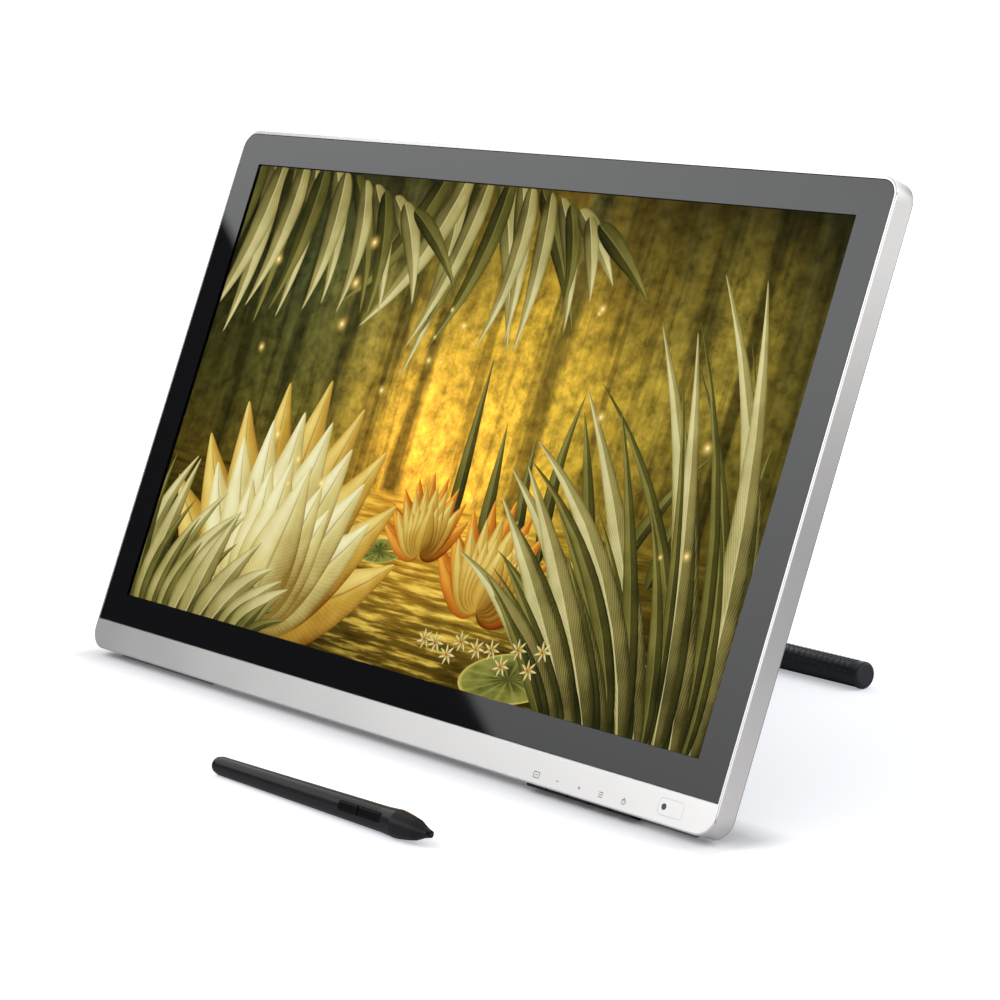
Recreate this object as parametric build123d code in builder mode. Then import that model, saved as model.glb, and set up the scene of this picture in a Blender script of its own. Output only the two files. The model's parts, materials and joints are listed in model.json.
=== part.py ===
from build123d import *
from math import asin, atan2, cos, hypot, radians, sin
import os

os.makedirs("parts", exist_ok=True)

# A screen tablet leaning back on a hinged stand, with its pen lying in front.
# The desk is z = 0 and the middle of the footprint is the origin.
# The face plane has its origin at the centre of the screen, on the front of the glass:
# its x runs to the right, its y up the face, and its z out towards the user.

# Body
screen_width = 476.6
screen_height = 268.1
face_tilt = 67.83
body_side = 21.2
body_crown = 20.95
body_chin = 34.45
corner_radius = 12.0
front_edge_radius = 0.8
band_depth = 13.0
frame_wall = 2.0
frame_step = 1.5
frame_face = 4.4

# Glass
glass_side = 1.8
glass_crown = 2.5
glass_chin = 16.9
glass_thickness = 1.8
glass_top_radius = 8.5
glass_bottom_radius = 0.8
glass_gap = 0.3
print_thickness = 0.2
print_inset = 0.4
tape_thickness = 0.6
ledge = 3.0

# Screen module
module_side = 11.7
module_edge = 10.95
module_radius = 1.5
bezel_thickness = 0.3
cell_margin = 4.0
cell_thickness = 1.6
sheets_thickness = 0.8
guide_thickness = 3.0
guide_short = 3.5
reflector_thickness = 0.3
tray_base = 0.8
tray_wall = 0.8
tray_gap = 0.4
led_bar_height = 1.2
led_size = 2.4
led_count = 24

# Sensing and carrying plates
sensor_inset = 4.0
sensor_thickness = 1.0
shield_thickness = 0.5
chassis_gap = 0.5
chassis_thickness = 1.2
nut_height = 4.0
nut_diameter = 7.0

# Rear cover
cover_inset = 1.0
cover_wall = 2.2
slope_depth = 13.0
slope_run = 20.0
bulge_depth = 12.0
bulge_run = 22.0
cover_radius = 11.0
cover_slope_wall = 3.8
cover_back_radius = 3.0
vent_length = 22.0
vent_width = 2.2
vent_pitch_across = 28.0
vent_pitch_up = 6.0
vent_columns = 5
vent_rows = 4
vent_crown = 71.0
vent_side = 141.5

# Cover screws and wells
cover_screw_side = 63.5
cover_screw_crown = 61.0
cover_screw_chin = 64.5
well_diameter = 10.0
well_bore = 6.6
screw_hole = 3.4
screw_shank = 2.9
screw_head = 5.8
screw_head_height = 2.0
screw_seat = 3.0
screw_gap = 0.2

# Mounting posts
post_diameter = 9.6
post_bore = 4.2
post_gap = 0.4
vesa_wide = 100.0
vesa_narrow = 75.0

# Boards
board_thickness = 1.6
board_standoff = 8.0
standoff_diameter = 5.0
standoff_inset = 4.0
main_board_width = 150.0
main_board_top = -7.0
main_board_u = -70.0
board_bay_gap = 0.4
can_width = 60.0
can_height = 40.0
can_thickness = 4.0
can_margin = 6.0
cable_width = 28.0
cable_thickness = 0.4
cable_rise = 27.0
cable_land = 2.4
cable_back = 2.0
cable_slot_gap = 1.2
cable_share = (-0.24, 0.16)

# Port bay
bay_width = 104.0
bay_height = 32.0
bay_depth = 17.0
bay_chin = 86.5
bay_wall = 1.6
bay_radius = 3.0
socket_depth = 11.0
socket_wall = 1.6
socket_gap = 0.2
socket_floor = 2.0
power_width = 9.0
power_thickness = 6.4
video_width = 15.4
video_thickness = 6.4
data_width = 9.6
data_thickness = 8.8
socket_pitch = 32.0

# Keys
key_count = 5
key_pitch = 15.3
key_side = 122.3
key_width = 13.6
key_depth = 7.0
key_front = 1.9
key_hang = 1.4
key_sink = 0.4
key_room = 1.4
key_gap = 0.3
key_radius = 0.6
key_travel = 0.8
stem_width = 6.0
stem_depth = 2.6
stem_gap = 0.25
flange_width = 9.0
flange_height = 1.2
flange_gap = 0.1

# Key board, switches and indicator
key_board_height = 10.0
key_board_over = 12.0
key_board_level = 9.2
key_board_thickness = 1.0
key_board_up = 6.0
key_board_tab = 8.0
key_board_tab_drop = 5.0
switch_width = 6.2
switch_height = 3.6
switch_thickness = 3.4
plunger_width = 2.4
plunger_depth = 1.6
plunger_reach = 0.9
window_width = 16.0
window_height = 8.0
window_radius = 2.0
window_depth = 3.0
window_gap = 0.1
window_side = 29.3
window_chin = 8.5
lamp_diameter = 3.0
lamp_shift = 4.6
lamp_gap = 0.1
lamp_sink = 0.3

# Rubber feet of the body
foot_drop = 0.5
foot_back = 0.5
foot_flat = 3.0
foot_length = 90.0
foot_side = 64.5
foot_front = 2.4
foot_rise = 0.7
foot_tail = 1.6

# Stand
plate_width = 88.0
plate_margin = 14.5
plate_thickness = 3.2
plate_radius = 8.0
plate_hole = 4.6
plate_screw_shank = 3.9
plate_screw_head = 7.6
plate_screw_head_height = 2.4
plate_screw_length = 12.0
hinge_inset = 14.0
hinge_clear = 1.3
leg_reach = 129.861
leg_half_width = 30.0
leg_foot_half = 25.0
leg_thickness = 7.0
barrel_radius = 11.0
pin_radius = 5.0
pin_play = 0.05
pin_head_radius = 8.5
pin_head_height = 3.5
nut_play = 0.05
washer_thickness = 1.2
washer_radius = 10.0
washer_play = 0.1
cheek_thickness = 4.0
cheek_radius = 12.5
cheek_foot = 24.0
drum_radius = 13.5
drum_half = 9.0
drum_play = 0.05
leg_groove = 1.5
leg_groove_margin = 9.0
foot_hub_radius = 7.5
foot_hub_half = 26.0
tube_radius = 5.5
tube_wall = 1.2
sleeve_radius = 7.94
sleeve_rib = 1.6
sleeve_groove = 1.6
sleeve_groove_depth = 0.5
bar_half = 102.5
cap_length = 3.6
cap_round = 2.2
cap_plug = 9.0
fit_play = 0.05

# Release lever
lever_over_rise = 23.0
lever_over_back = -7.0
lever_pin_radius = 2.5
lever_hub_radius = 5.5
lever_half = 22.0
shoe_half = 8.0
lever_thickness = 3.0
lever_handle_half = 12.0
lever_handle_rise = 30.0
lever_handle_bend = 5.0
lever_handle_radius = 5.0
shoe_play = 0.35
shoe_thickness = 3.4
shoe_from = 2.0
shoe_to = 44.0
ear_radius = 6.5
spring_wire = 0.8
spring_radius = 4.6
spring_turns = 4.0
spring_pitch = 1.7
spring_samples = 160
lever_pin_head = 1.6
lever_pin_head_radius = 4.0

# Pen
pen_tail_x = 3.2
pen_before = 107.1
pen_length = 170.6
pen_tail_cap = 4.0
pen_tail_end_radius = 4.0
pen_tail_radius = 4.86
pen_grip_length = 42.6
pen_grip_radius = 5.95
pen_flare = 10.0
pen_waist_radius = 6.32
pen_cone = 24.6
pen_shoulder_radius = 6.94
pen_swell_run = 6.6
pen_nose_swell_radius = 6.18
pen_mid_run = 13.4
pen_nose_mid_radius = 5.02
pen_neck_run = 5.2
pen_neck_radius = 2.68
pen_nose_radius = 1.7
pen_wall = 1.5
pen_end_round = 1.6
pen_plug = 5.0
pen_plug_play = 0.08
pen_slit = 1.2
pen_slit_depth = 1.4
nib_radius = 0.8
nib_out = 1.2
nib_back = 26.0
nib_round = 0.5
nib_play = 0.25
pen_roll = 24.0
pen_switch_lead = 3.4
pen_switch_rear_length = 14.9
pen_switch_front_length = 16.9
pen_switch_gap = 0.35
pen_switch_width = 4.2
pen_switch_proud = 0.35
pen_switch_round = 0.7
pen_shelf_width = 5.4
pen_shelf_thickness = 0.8
pen_shelf_height = 3.2
pen_board_width = 8.0
pen_board_thickness = 1.0
pen_board_lead = 3.6
pen_board_length = 34.0
pen_cell_radius = 3.1
pen_cell_gap = 26.0
pen_cell_from = 12.0
pen_coil_length = 9.0
pen_coil_lead = 0.8
pen_coil_play = 0.5

# Levels below the front of the glass, stacked in order
print_level = glass_thickness
tape_level = print_level + print_thickness
ledge_level = tape_level + tape_thickness
bezel_level = tape_level
cell_level = bezel_level + bezel_thickness
sheets_level = cell_level + cell_thickness
guide_level = sheets_level + sheets_thickness
reflector_level = guide_level + guide_thickness
tray_level = reflector_level + reflector_thickness
sensor_level = tray_level + tray_base
shield_level = sensor_level + sensor_thickness
chassis_level = shield_level + shield_thickness + chassis_gap
nut_level = chassis_level + chassis_thickness
well_level = nut_level + nut_height
back_level = band_depth + slope_depth + bulge_depth
inner_back = back_level - cover_wall
plate_back = back_level + plate_thickness
hinge_level = plate_back + drum_radius + hinge_clear
board_level = nut_level + board_standoff
board_back = board_level + board_thickness

# Heights and widths along the face, from the lit area outwards
body_width = screen_width + 2 * body_side
body_rise = screen_height / 2 + body_crown
body_drop = screen_height / 2 + body_chin
body_height = body_rise + body_drop
body_middle = (body_rise - body_drop) / 2
glass_width = body_width - 2 * glass_side
glass_rise = body_rise - glass_crown
glass_drop = body_drop - glass_chin
glass_height = glass_rise + glass_drop
glass_middle = (glass_rise - glass_drop) / 2
module_width = screen_width + 2 * module_side
module_height = screen_height + 2 * module_edge
sensor_width = module_width - 2 * sensor_inset
sensor_height = module_height - 2 * sensor_inset
cover_screw_across = body_width / 2 - cover_screw_side
cover_screw_rise = body_rise - cover_screw_crown
cover_screw_drop = body_drop - cover_screw_chin
vent_across = body_width / 2 - vent_side
vent_rise = body_rise - vent_crown
bay_u = main_board_u
bay_top = bay_chin - body_drop
key_first = body_width / 2 - key_side
window_u = body_width / 2 - window_side
window_v = window_chin - body_drop
foot_centre = body_width / 2 - foot_side
plate_rise = body_rise - cover_inset - slope_run - bulge_run
plate_low = vesa_narrow / 2 + plate_margin
hinge_rise = plate_rise - hinge_inset
inner_width = body_width - 2 * frame_wall
inner_height = body_height - 2 * frame_wall
step_width = inner_width - 2 * frame_step
step_height = inner_height - 2 * frame_step
cell_width = screen_width + 2 * cell_margin
cell_height = screen_height + 2 * cell_margin
chin_floor = -body_drop + frame_wall + frame_step

# Where the body touches the desk, and where that point lies in the room
tilt = radians(face_tilt)
rise_y = cos(tilt)
rise_z = sin(tilt)
rest_drop = body_drop + foot_drop
rest_back = band_depth + foot_back


def room_y(along, out):
    return (along + rest_drop) * rise_y - (out + rest_back) * rise_z


def room_z(along, out):
    return (along + rest_drop) * rise_z + (out + rest_back) * rise_y


# The stand leg reaches back from its hinge to a bar that lies on the desk
hinge_y = room_y(hinge_rise, -hinge_level)
hinge_z = room_z(hinge_rise, -hinge_level)
leg_height = hinge_z - sleeve_radius
leg_length = hypot(leg_reach, leg_height)
leg_fall = atan2(leg_height, leg_reach)
bar_y = hinge_y + leg_reach
footprint_middle = (bar_y + sleeve_radius - pen_before - pen_shoulder_radius) / 2

face_origin = (0, room_y(0, 0) - footprint_middle, room_z(0, 0))
face = Plane(origin=face_origin, x_dir=(1, 0, 0), z_dir=(0, -rise_z, rise_y))
side = Plane(origin=face_origin, x_dir=(0, rise_y, rise_z), z_dir=(1, 0, 0))
hinge_point = (0, hinge_y - footprint_middle, hinge_z)
leg_side = Plane(origin=hinge_point, x_dir=(0, cos(leg_fall), -sin(leg_fall)), z_dir=(1, 0, 0))
leg_face = Plane(origin=hinge_point, x_dir=(1, 0, 0), z_dir=leg_side.y_dir)
lever_rise = hinge_rise + lever_over_rise
lever_level = hinge_level + lever_over_back
cheek_inner = leg_half_width + washer_thickness + 2 * washer_play
cheek_outer = cheek_inner + cheek_thickness

# Places along the pen, measured from its tail
pen_shoulder = pen_length - pen_cone
pen_waist = pen_shoulder - pen_flare
pen_grip_start = pen_shoulder - pen_grip_length
pen_nose_swell = pen_shoulder + pen_swell_run
pen_nose_mid = pen_shoulder + pen_mid_run
pen_neck = pen_length - pen_neck_run
pen_switch_from = pen_grip_start + pen_switch_lead
pen_switch_split = pen_switch_from + pen_switch_rear_length
pen_switch_to = pen_switch_split + pen_switch_front_length
pen_board_from = pen_grip_start + pen_board_lead
pen_cell_length = pen_board_from - pen_cell_gap - pen_cell_from
pen_coil_from = pen_shoulder + pen_coil_lead

# The pen touches the desk under its tail and under its shoulder
pen_nose_lift = asin((pen_shoulder_radius - pen_tail_radius) / (pen_shoulder - pen_tail_cap))
pen_run = (cos(pen_nose_lift), 0, sin(pen_nose_lift))
pen_tail_height = pen_tail_radius - pen_tail_cap * sin(pen_nose_lift)
pen_tail = (pen_tail_x, -pen_before - footprint_middle, pen_tail_height)
pen_side = Plane(origin=pen_tail, x_dir=pen_run, z_dir=(0, -1, 0))
pen_axis = Axis(pen_tail, pen_run)
look = radians(pen_roll)
pen_top = (-sin(look) * sin(pen_nose_lift), -cos(look), sin(look) * cos(pen_nose_lift))
pen_deck = Plane(origin=pen_tail, x_dir=pen_run, z_dir=pen_top)


def deep(level):
    return face.offset(-level)


def across(place):
    return side.offset(place)


def export_piece(piece, label):
    piece.part.label = label
    export_step(piece.part, os.path.join("parts", label + ".step"))


# A flat rectangular layer of the stack, its front at the given level
def layer(level, width, height, thickness, middle, radius=0):
    with BuildPart() as slab:
        with BuildSketch(deep(level)):
            with Locations((0, middle)):
                if radius > 0:
                    RectangleRounded(width, height, radius)
                else:
                    Rectangle(width, height)
        extrude(amount=-thickness)
    return slab


# A block in the outline of the glass: round corners at the top, nearly square at the chin
def glass_block(level, thickness, grow=0.0):
    half = glass_width / 2 + grow
    top = glass_rise + grow
    low = -glass_drop - grow
    with BuildPart() as block:
        with BuildSketch(deep(level)) as outline:
            with Locations((0, (top + low) / 2)):
                Rectangle(2 * half, top - low)
            corners = outline.vertices().group_by(Axis.Y)
            fillet(corners[-1], radius=glass_top_radius + grow)
            corners = outline.vertices().group_by(Axis.Y)
            fillet(corners[0], radius=glass_bottom_radius)
        extrude(amount=-thickness)
    return block


# Front frame: chin, lip and side band in one shell
key_places = [key_first + key_pitch * number for number in range(key_count)]
stem_level = key_board_level - switch_thickness / 2
lamp_u = window_u - lamp_shift
glass_pocket = glass_block(0, ledge_level, grow=glass_gap)

with BuildPart() as front_frame:
    with BuildSketch(deep(0)):
        with Locations((0, body_middle)):
            RectangleRounded(body_width, body_height, corner_radius)
    extrude(amount=-band_depth)
    fillet(front_frame.faces().sort_by(Axis(face.origin, face.z_dir))[-1].edges(), front_edge_radius)
    with BuildSketch(deep(frame_face)):
        with Locations((0, body_middle)):
            RectangleRounded(step_width, step_height, corner_radius - frame_wall - frame_step)
    extrude(amount=-(band_depth - frame_face), mode=Mode.SUBTRACT)
    with BuildSketch(deep(chassis_level)):
        with Locations((0, body_middle)):
            RectangleRounded(inner_width, inner_height, corner_radius - frame_wall)
    extrude(amount=-(band_depth - chassis_level), mode=Mode.SUBTRACT)
    add(glass_pocket.part, mode=Mode.SUBTRACT)
    with BuildSketch(deep(0)):
        with Locations((0, glass_middle)):
            Rectangle(glass_width - 2 * ledge, glass_height - 2 * ledge)
    extrude(amount=-frame_face, mode=Mode.SUBTRACT)
    with BuildSketch(face.offset(-(key_front - key_gap))):
        for place in key_places:
            with Locations((place, -body_drop + key_room / 2)):
                Rectangle(key_width + 2 * key_gap, key_room)
    extrude(amount=-(key_depth + 2 * key_gap), mode=Mode.SUBTRACT)
    with BuildSketch(deep(stem_level - stem_depth / 2 - stem_gap)):
        for place in key_places:
            with Locations((place, (chin_floor - body_drop) / 2)):
                Rectangle(stem_width + 2 * stem_gap, chin_floor + body_drop)
    extrude(amount=-(stem_depth + 2 * stem_gap), mode=Mode.SUBTRACT)
    with BuildSketch(deep(0)):
        with Locations((window_u, window_v)):
            RectangleRounded(
                window_width + 2 * window_gap, window_height + 2 * window_gap, window_radius + window_gap
            )
    extrude(amount=-window_depth, mode=Mode.SUBTRACT)
    with BuildSketch(deep(window_depth)):
        with Locations((lamp_u, window_v)):
            Circle(lamp_diameter / 2 + lamp_gap)
    extrude(amount=-(frame_face - window_depth), mode=Mode.SUBTRACT)
export_piece(front_frame, "front_frame")

# Glass, its printed border and the tape that holds it
cover_glass = glass_block(0, glass_thickness)
export_piece(cover_glass, "cover_glass")

print_block = glass_block(print_level, print_thickness, grow=-print_inset)
with BuildPart() as printed_border:
    add(print_block.part)
    with BuildSketch(deep(print_level)):
        Rectangle(screen_width, screen_height)
    extrude(amount=-print_thickness, mode=Mode.SUBTRACT)
export_piece(printed_border, "printed_border")

bond_block = glass_block(tape_level, tape_thickness, grow=-print_inset)
with BuildPart() as bond_tape:
    add(bond_block.part)
    with BuildSketch(deep(tape_level)):
        with Locations((0, glass_middle)):
            Rectangle(glass_width - 2 * ledge, glass_height - 2 * ledge)
    extrude(amount=-tape_thickness, mode=Mode.SUBTRACT)
export_piece(bond_tape, "bond_tape")

# Screen module, from its steel bezel back to its tray
with BuildPart() as panel_bezel:
    with BuildSketch(deep(bezel_level)):
        RectangleRounded(module_width, module_height, module_radius)
    extrude(amount=-(sensor_level - bezel_level))
    with BuildSketch(deep(cell_level)):
        Rectangle(module_width - 2 * bezel_thickness, module_height - 2 * bezel_thickness)
    extrude(amount=-(sensor_level - cell_level), mode=Mode.SUBTRACT)
    with BuildSketch(deep(bezel_level)):
        Rectangle(screen_width + cell_margin, screen_height + cell_margin)
    extrude(amount=-bezel_thickness, mode=Mode.SUBTRACT)
export_piece(panel_bezel, "panel_bezel")

crystal_cell = layer(cell_level, cell_width, cell_height, cell_thickness, 0)
export_piece(crystal_cell, "crystal_cell")

optical_sheets = layer(sheets_level, cell_width, cell_height, sheets_thickness, 0)
export_piece(optical_sheets, "optical_sheets")

light_guide = layer(guide_level, cell_width, cell_height - guide_short, guide_thickness, guide_short / 2)
export_piece(light_guide, "light_guide")

reflector_sheet = layer(reflector_level, cell_width, cell_height, reflector_thickness, 0)
export_piece(reflector_sheet, "reflector_sheet")

tray_outer_width = module_width - 2 * bezel_thickness - 2 * tray_gap
tray_outer_height = module_height - 2 * bezel_thickness - 2 * tray_gap
with BuildPart() as panel_tray:
    with BuildSketch(deep(cell_level)):
        Rectangle(tray_outer_width, tray_outer_height)
    extrude(amount=-(sensor_level - cell_level))
    with BuildSketch(deep(cell_level)):
        Rectangle(tray_outer_width - 2 * tray_wall, tray_outer_height - 2 * tray_wall)
    extrude(amount=-(tray_level - cell_level), mode=Mode.SUBTRACT)
export_piece(panel_tray, "panel_tray")

led_bar_low = -cell_height / 2
with BuildPart() as led_strip:
    with BuildSketch(deep(guide_level)):
        with Locations((0, led_bar_low + led_bar_height / 2)):
            Rectangle(screen_width, led_bar_height)
    extrude(amount=-guide_thickness)
    with BuildSketch(deep(guide_level + (guide_thickness - led_size) / 2)):
        with Locations((0, led_bar_low + led_bar_height + led_bar_height / 2)):
            with GridLocations(screen_width / led_count, 0, led_count, 1):
                Rectangle(2 * led_size, led_bar_height)
    extrude(amount=-led_size)
export_piece(led_strip, "led_strip")

# Pen sensing
sensor_board = layer(sensor_level, sensor_width, sensor_height, sensor_thickness, 0)
export_piece(sensor_board, "sensor_board")

sensor_shield = layer(shield_level, sensor_width, sensor_height, shield_thickness, 0)
export_piece(sensor_shield, "sensor_shield")

# Chassis plate on the step of the frame, with clinch nuts for the cover screws
screw_places = [
    (across_share * cover_screw_across, height)
    for height in (cover_screw_rise, -cover_screw_drop)
    for across_share in (-1, 0, 1)
]
post_places = [
    (x_share * spread / 2, y_share * spread / 2)
    for spread in (vesa_wide, vesa_narrow)
    for x_share in (-1, 1)
    for y_share in (-1, 1)
]
main_board_low = bay_top + bay_wall + board_bay_gap
main_board_height = main_board_top - main_board_low
main_board_v = (main_board_top + main_board_low) / 2
board_corners = [
    (
        main_board_u + x_share * (main_board_width / 2 - standoff_inset),
        main_board_v + y_share * (main_board_height / 2 - standoff_inset),
    )
    for x_share in (-1, 1)
    for y_share in (-1, 1)
]

cable_places = [main_board_u + share * main_board_width for share in cable_share]
cable_top = main_board_top + cable_rise
cable_slots = [(place, cable_top) for place in cable_places]

with BuildPart() as chassis_plate:
    with BuildSketch(deep(chassis_level)):
        with Locations((0, body_middle)):
            RectangleRounded(
                inner_width - 2 * chassis_gap,
                inner_height - 2 * chassis_gap,
                corner_radius - frame_wall - chassis_gap,
            )
        with Locations(*screw_places):
            Circle(screw_hole / 2, mode=Mode.SUBTRACT)
        with Locations(*cable_slots):
            Rectangle(
                cable_width + 2 * cable_slot_gap,
                cable_thickness + 2 * cable_slot_gap,
                mode=Mode.SUBTRACT,
            )
    extrude(amount=-chassis_thickness)
    with BuildSketch(deep(nut_level)):
        with Locations(*board_corners):
            Circle(standoff_diameter / 2)
    extrude(amount=-board_standoff)
export_piece(chassis_plate, "chassis_plate")

with BuildPart() as clinch_nuts:
    with BuildSketch(deep(nut_level)):
        with Locations(*screw_places):
            RegularPolygon(nut_diameter / 2, 6)
            Circle(screw_hole / 2, mode=Mode.SUBTRACT)
    extrude(amount=-nut_height)
export_piece(clinch_nuts, "clinch_nuts")

with BuildPart() as mounting_posts:
    with BuildSketch(deep(nut_level)):
        with Locations(*post_places):
            Circle(post_diameter / 2)
            Circle(post_bore / 2, mode=Mode.SUBTRACT)
    extrude(amount=-(back_level - nut_level))
export_piece(mounting_posts, "mounting_posts")

# Main board on its standoffs, the can over it and the flat cables to the panel
with BuildPart() as main_board:
    with BuildSketch(deep(board_level)):
        with Locations((main_board_u, main_board_v)):
            Rectangle(main_board_width, main_board_height)
        with Locations(*post_places):
            Circle(post_diameter / 2 + post_gap, mode=Mode.SUBTRACT)
    extrude(amount=-board_thickness)
export_piece(main_board, "main_board")

with BuildPart() as shield_can:
    with BuildSketch(deep(board_back)):
        with Locations(
            (
                main_board_u - main_board_width / 2 + can_margin + can_width / 2,
                main_board_top - can_margin - can_height / 2,
            )
        ):
            Rectangle(can_width, can_height)
    extrude(amount=-can_thickness)
export_piece(shield_can, "shield_can")

# Each flat cable leaves the panel through its slot, turns down and lands on the main board
cable_back_level = nut_level + cable_back
cable_foot = main_board_top - cable_land
with BuildPart() as flat_cables:
    for place in cable_places:
        with BuildSketch(across(place - cable_width / 2)):
            with BuildLine():
                Polyline(
                    (cable_top - cable_thickness / 2, -chassis_level + chassis_gap),
                    (cable_top + cable_thickness / 2, -chassis_level + chassis_gap),
                    (cable_top + cable_thickness / 2, -cable_back_level - cable_thickness),
                    (cable_foot + cable_thickness, -cable_back_level - cable_thickness),
                    (cable_foot + cable_thickness, -board_level),
                    (cable_foot, -board_level),
                    (cable_foot, -cable_back_level),
                    (cable_top - cable_thickness / 2, -cable_back_level),
                    close=True,
                )
            make_face()
        extrude(amount=cable_width)
export_piece(flat_cables, "flat_cables")

# Port bay: an open tray let into the rear cover, with the sockets in its upper wall
socket_level = board_back + socket_wall
sockets = {
    "power_socket": (bay_u - socket_pitch, power_width, power_thickness),
    "video_socket": (bay_u, video_width, video_thickness),
    "data_socket": (bay_u + socket_pitch, data_width, data_thickness),
}
bay_floor = back_level - bay_depth
bay_low = bay_top - bay_height
bay_middle = (bay_top + bay_low) / 2

with BuildPart() as port_bay:
    with BuildSketch(deep(bay_floor - bay_wall)):
        with Locations((bay_u, bay_middle)):
            RectangleRounded(bay_width + 2 * bay_wall, bay_height + 2 * bay_wall, bay_radius + bay_wall)
    extrude(amount=-(bay_depth + bay_wall))
    with BuildSketch(deep(bay_floor)):
        with Locations((bay_u, bay_middle)):
            RectangleRounded(bay_width, bay_height, bay_radius)
    extrude(amount=-bay_depth, mode=Mode.SUBTRACT)
    for place, width, thickness in sockets.values():
        with BuildSketch(deep(board_back)):
            with Locations((place, bay_top + bay_wall / 2)):
                Rectangle(width + 2 * socket_wall + 2 * socket_gap, bay_wall)
        extrude(amount=-(thickness + 2 * socket_wall + socket_gap), mode=Mode.SUBTRACT)
export_piece(port_bay, "port_bay")

for label, (place, width, thickness) in sockets.items():
    with BuildPart() as socket:
        with BuildSketch(deep(board_back)):
            with Locations((place, bay_top + socket_depth / 2)):
                Rectangle(width + 2 * socket_wall, socket_depth)
        extrude(amount=-(thickness + 2 * socket_wall))
        with BuildSketch(deep(socket_level)):
            with Locations((place, bay_top + (socket_depth - socket_floor) / 2)):
                Rectangle(width, socket_depth - socket_floor)
        extrude(amount=-thickness, mode=Mode.SUBTRACT)
    export_piece(socket, label)

# Rear cover: a rim against the band, two slopes, a flat back, wells for the screws
rim_width = body_width - 2 * cover_inset
rim_height = body_height - 2 * cover_inset
waist_width = rim_width - 2 * slope_run
waist_height = rim_height - 2 * slope_run
back_width = waist_width - 2 * bulge_run
back_height = waist_height - 2 * bulge_run
waist_level = band_depth + slope_depth


def cover_section(width, height, inset):
    with Locations((0, body_middle)):
        RectangleRounded(width - 2 * inset, height - 2 * inset, cover_radius - inset)


outer_steps = (
    (band_depth, waist_level, rim_width, rim_height, waist_width, waist_height),
    (waist_level, back_level, waist_width, waist_height, back_width, back_height),
)
inner_steps = (
    (band_depth, waist_level, rim_width, rim_height, waist_width, waist_height),
    (waist_level, inner_back, waist_width, waist_height, back_width, back_height),
)
with BuildPart() as rear_cover:
    for near_level, far_level, near_width, near_height, far_width, far_height in outer_steps:
        with BuildSketch(deep(near_level)):
            cover_section(near_width, near_height, 0)
        with BuildSketch(deep(far_level)):
            cover_section(far_width, far_height, 0)
        loft(ruled=True)
    fillet(rear_cover.faces().sort_by(Axis(face.origin, face.z_dir))[0].edges(), cover_back_radius)
    for near_level, far_level, near_width, near_height, far_width, far_height in inner_steps:
        with BuildSketch(deep(near_level)):
            cover_section(near_width, near_height, cover_slope_wall)
        with BuildSketch(deep(far_level)):
            cover_section(far_width, far_height, cover_slope_wall)
        loft(ruled=True, mode=Mode.SUBTRACT)
    with BuildSketch(deep(well_level)):
        with Locations(*screw_places):
            Circle(well_diameter / 2)
    extrude(amount=-(inner_back - well_level))
    with BuildSketch(deep(well_level)):
        with Locations(*screw_places):
            Circle(screw_hole / 2)
    extrude(amount=-(back_level - well_level), mode=Mode.SUBTRACT)
    with BuildSketch(deep(well_level + screw_seat)):
        with Locations(*screw_places):
            Circle(well_bore / 2)
    extrude(amount=-(back_level - well_level - screw_seat), mode=Mode.SUBTRACT)
    with BuildSketch(deep(inner_back)):
        with Locations(*post_places):
            Circle(post_diameter / 2 + post_gap)
        with Locations((bay_u, bay_middle)):
            RectangleRounded(
                bay_width + 2 * bay_wall + 2 * socket_gap,
                bay_height + 2 * bay_wall + 2 * socket_gap,
                bay_radius + bay_wall + socket_gap,
            )
        for half in (-1, 1):
            with Locations((half * vent_across, vent_rise)):
                with GridLocations(vent_pitch_across, vent_pitch_up, vent_columns, vent_rows):
                    SlotOverall(vent_length, vent_width)
    extrude(amount=-cover_wall, mode=Mode.SUBTRACT)
export_piece(rear_cover, "rear_cover")

with BuildPart() as cover_screws:
    with BuildSketch(deep(well_level + screw_seat)):
        with Locations(*screw_places):
            Circle(screw_head / 2)
    extrude(amount=-screw_head_height)
    with BuildSketch(deep(well_level + screw_seat)):
        with Locations(*screw_places):
            Circle(screw_shank / 2)
    extrude(amount=nut_height + screw_seat - screw_gap)
export_piece(cover_screws, "cover_screws")

# Rubber feet: each ends in a flat that lies on the desk
flat_run_along = foot_flat / 2 * rise_y
flat_run_out = foot_flat / 2 * rise_z
with BuildPart() as foot_pads:
    for half in (-1, 1):
        with BuildSketch(across(half * foot_centre - foot_length / 2)):
            with BuildLine():
                Polyline(
                    (-body_drop, -band_depth + foot_front),
                    (-rest_drop - flat_run_along, -rest_back + flat_run_out),
                    (-rest_drop + flat_run_along, -rest_back - flat_run_out),
                    (-body_drop + foot_rise, -rest_back - foot_tail + foot_rise),
                    (-body_drop + foot_rise, -band_depth),
                    (-body_drop, -band_depth),
                    close=True,
                )
            make_face()
        extrude(amount=foot_length)
export_piece(foot_pads, "foot_pads")

# Keys: a cap under the chin, a stem through its floor and a flange that keeps it in
stem_top = chin_floor + key_board_up - plunger_reach - key_travel - flange_gap
key_labels = ("key_input", "key_minus", "key_plus", "key_menu", "key_power")
for label, place in zip(key_labels, key_places):
    with BuildPart() as key:
        with BuildSketch(deep(key_front)):
            with Locations((place, -body_drop + (key_sink - key_hang) / 2)):
                RectangleRounded(key_width, key_hang + key_sink, key_radius)
        extrude(amount=-key_depth)
        with BuildSketch(deep(stem_level - stem_depth / 2)):
            with Locations((place, (stem_top - body_drop) / 2)):
                Rectangle(stem_width, stem_top + body_drop)
        extrude(amount=-stem_depth)
        with BuildSketch(deep(stem_level - stem_depth / 2)):
            with Locations((place, chin_floor + flange_gap + flange_height / 2)):
                Rectangle(flange_width, flange_height)
        extrude(amount=-stem_depth)
    export_piece(key, label)

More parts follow.
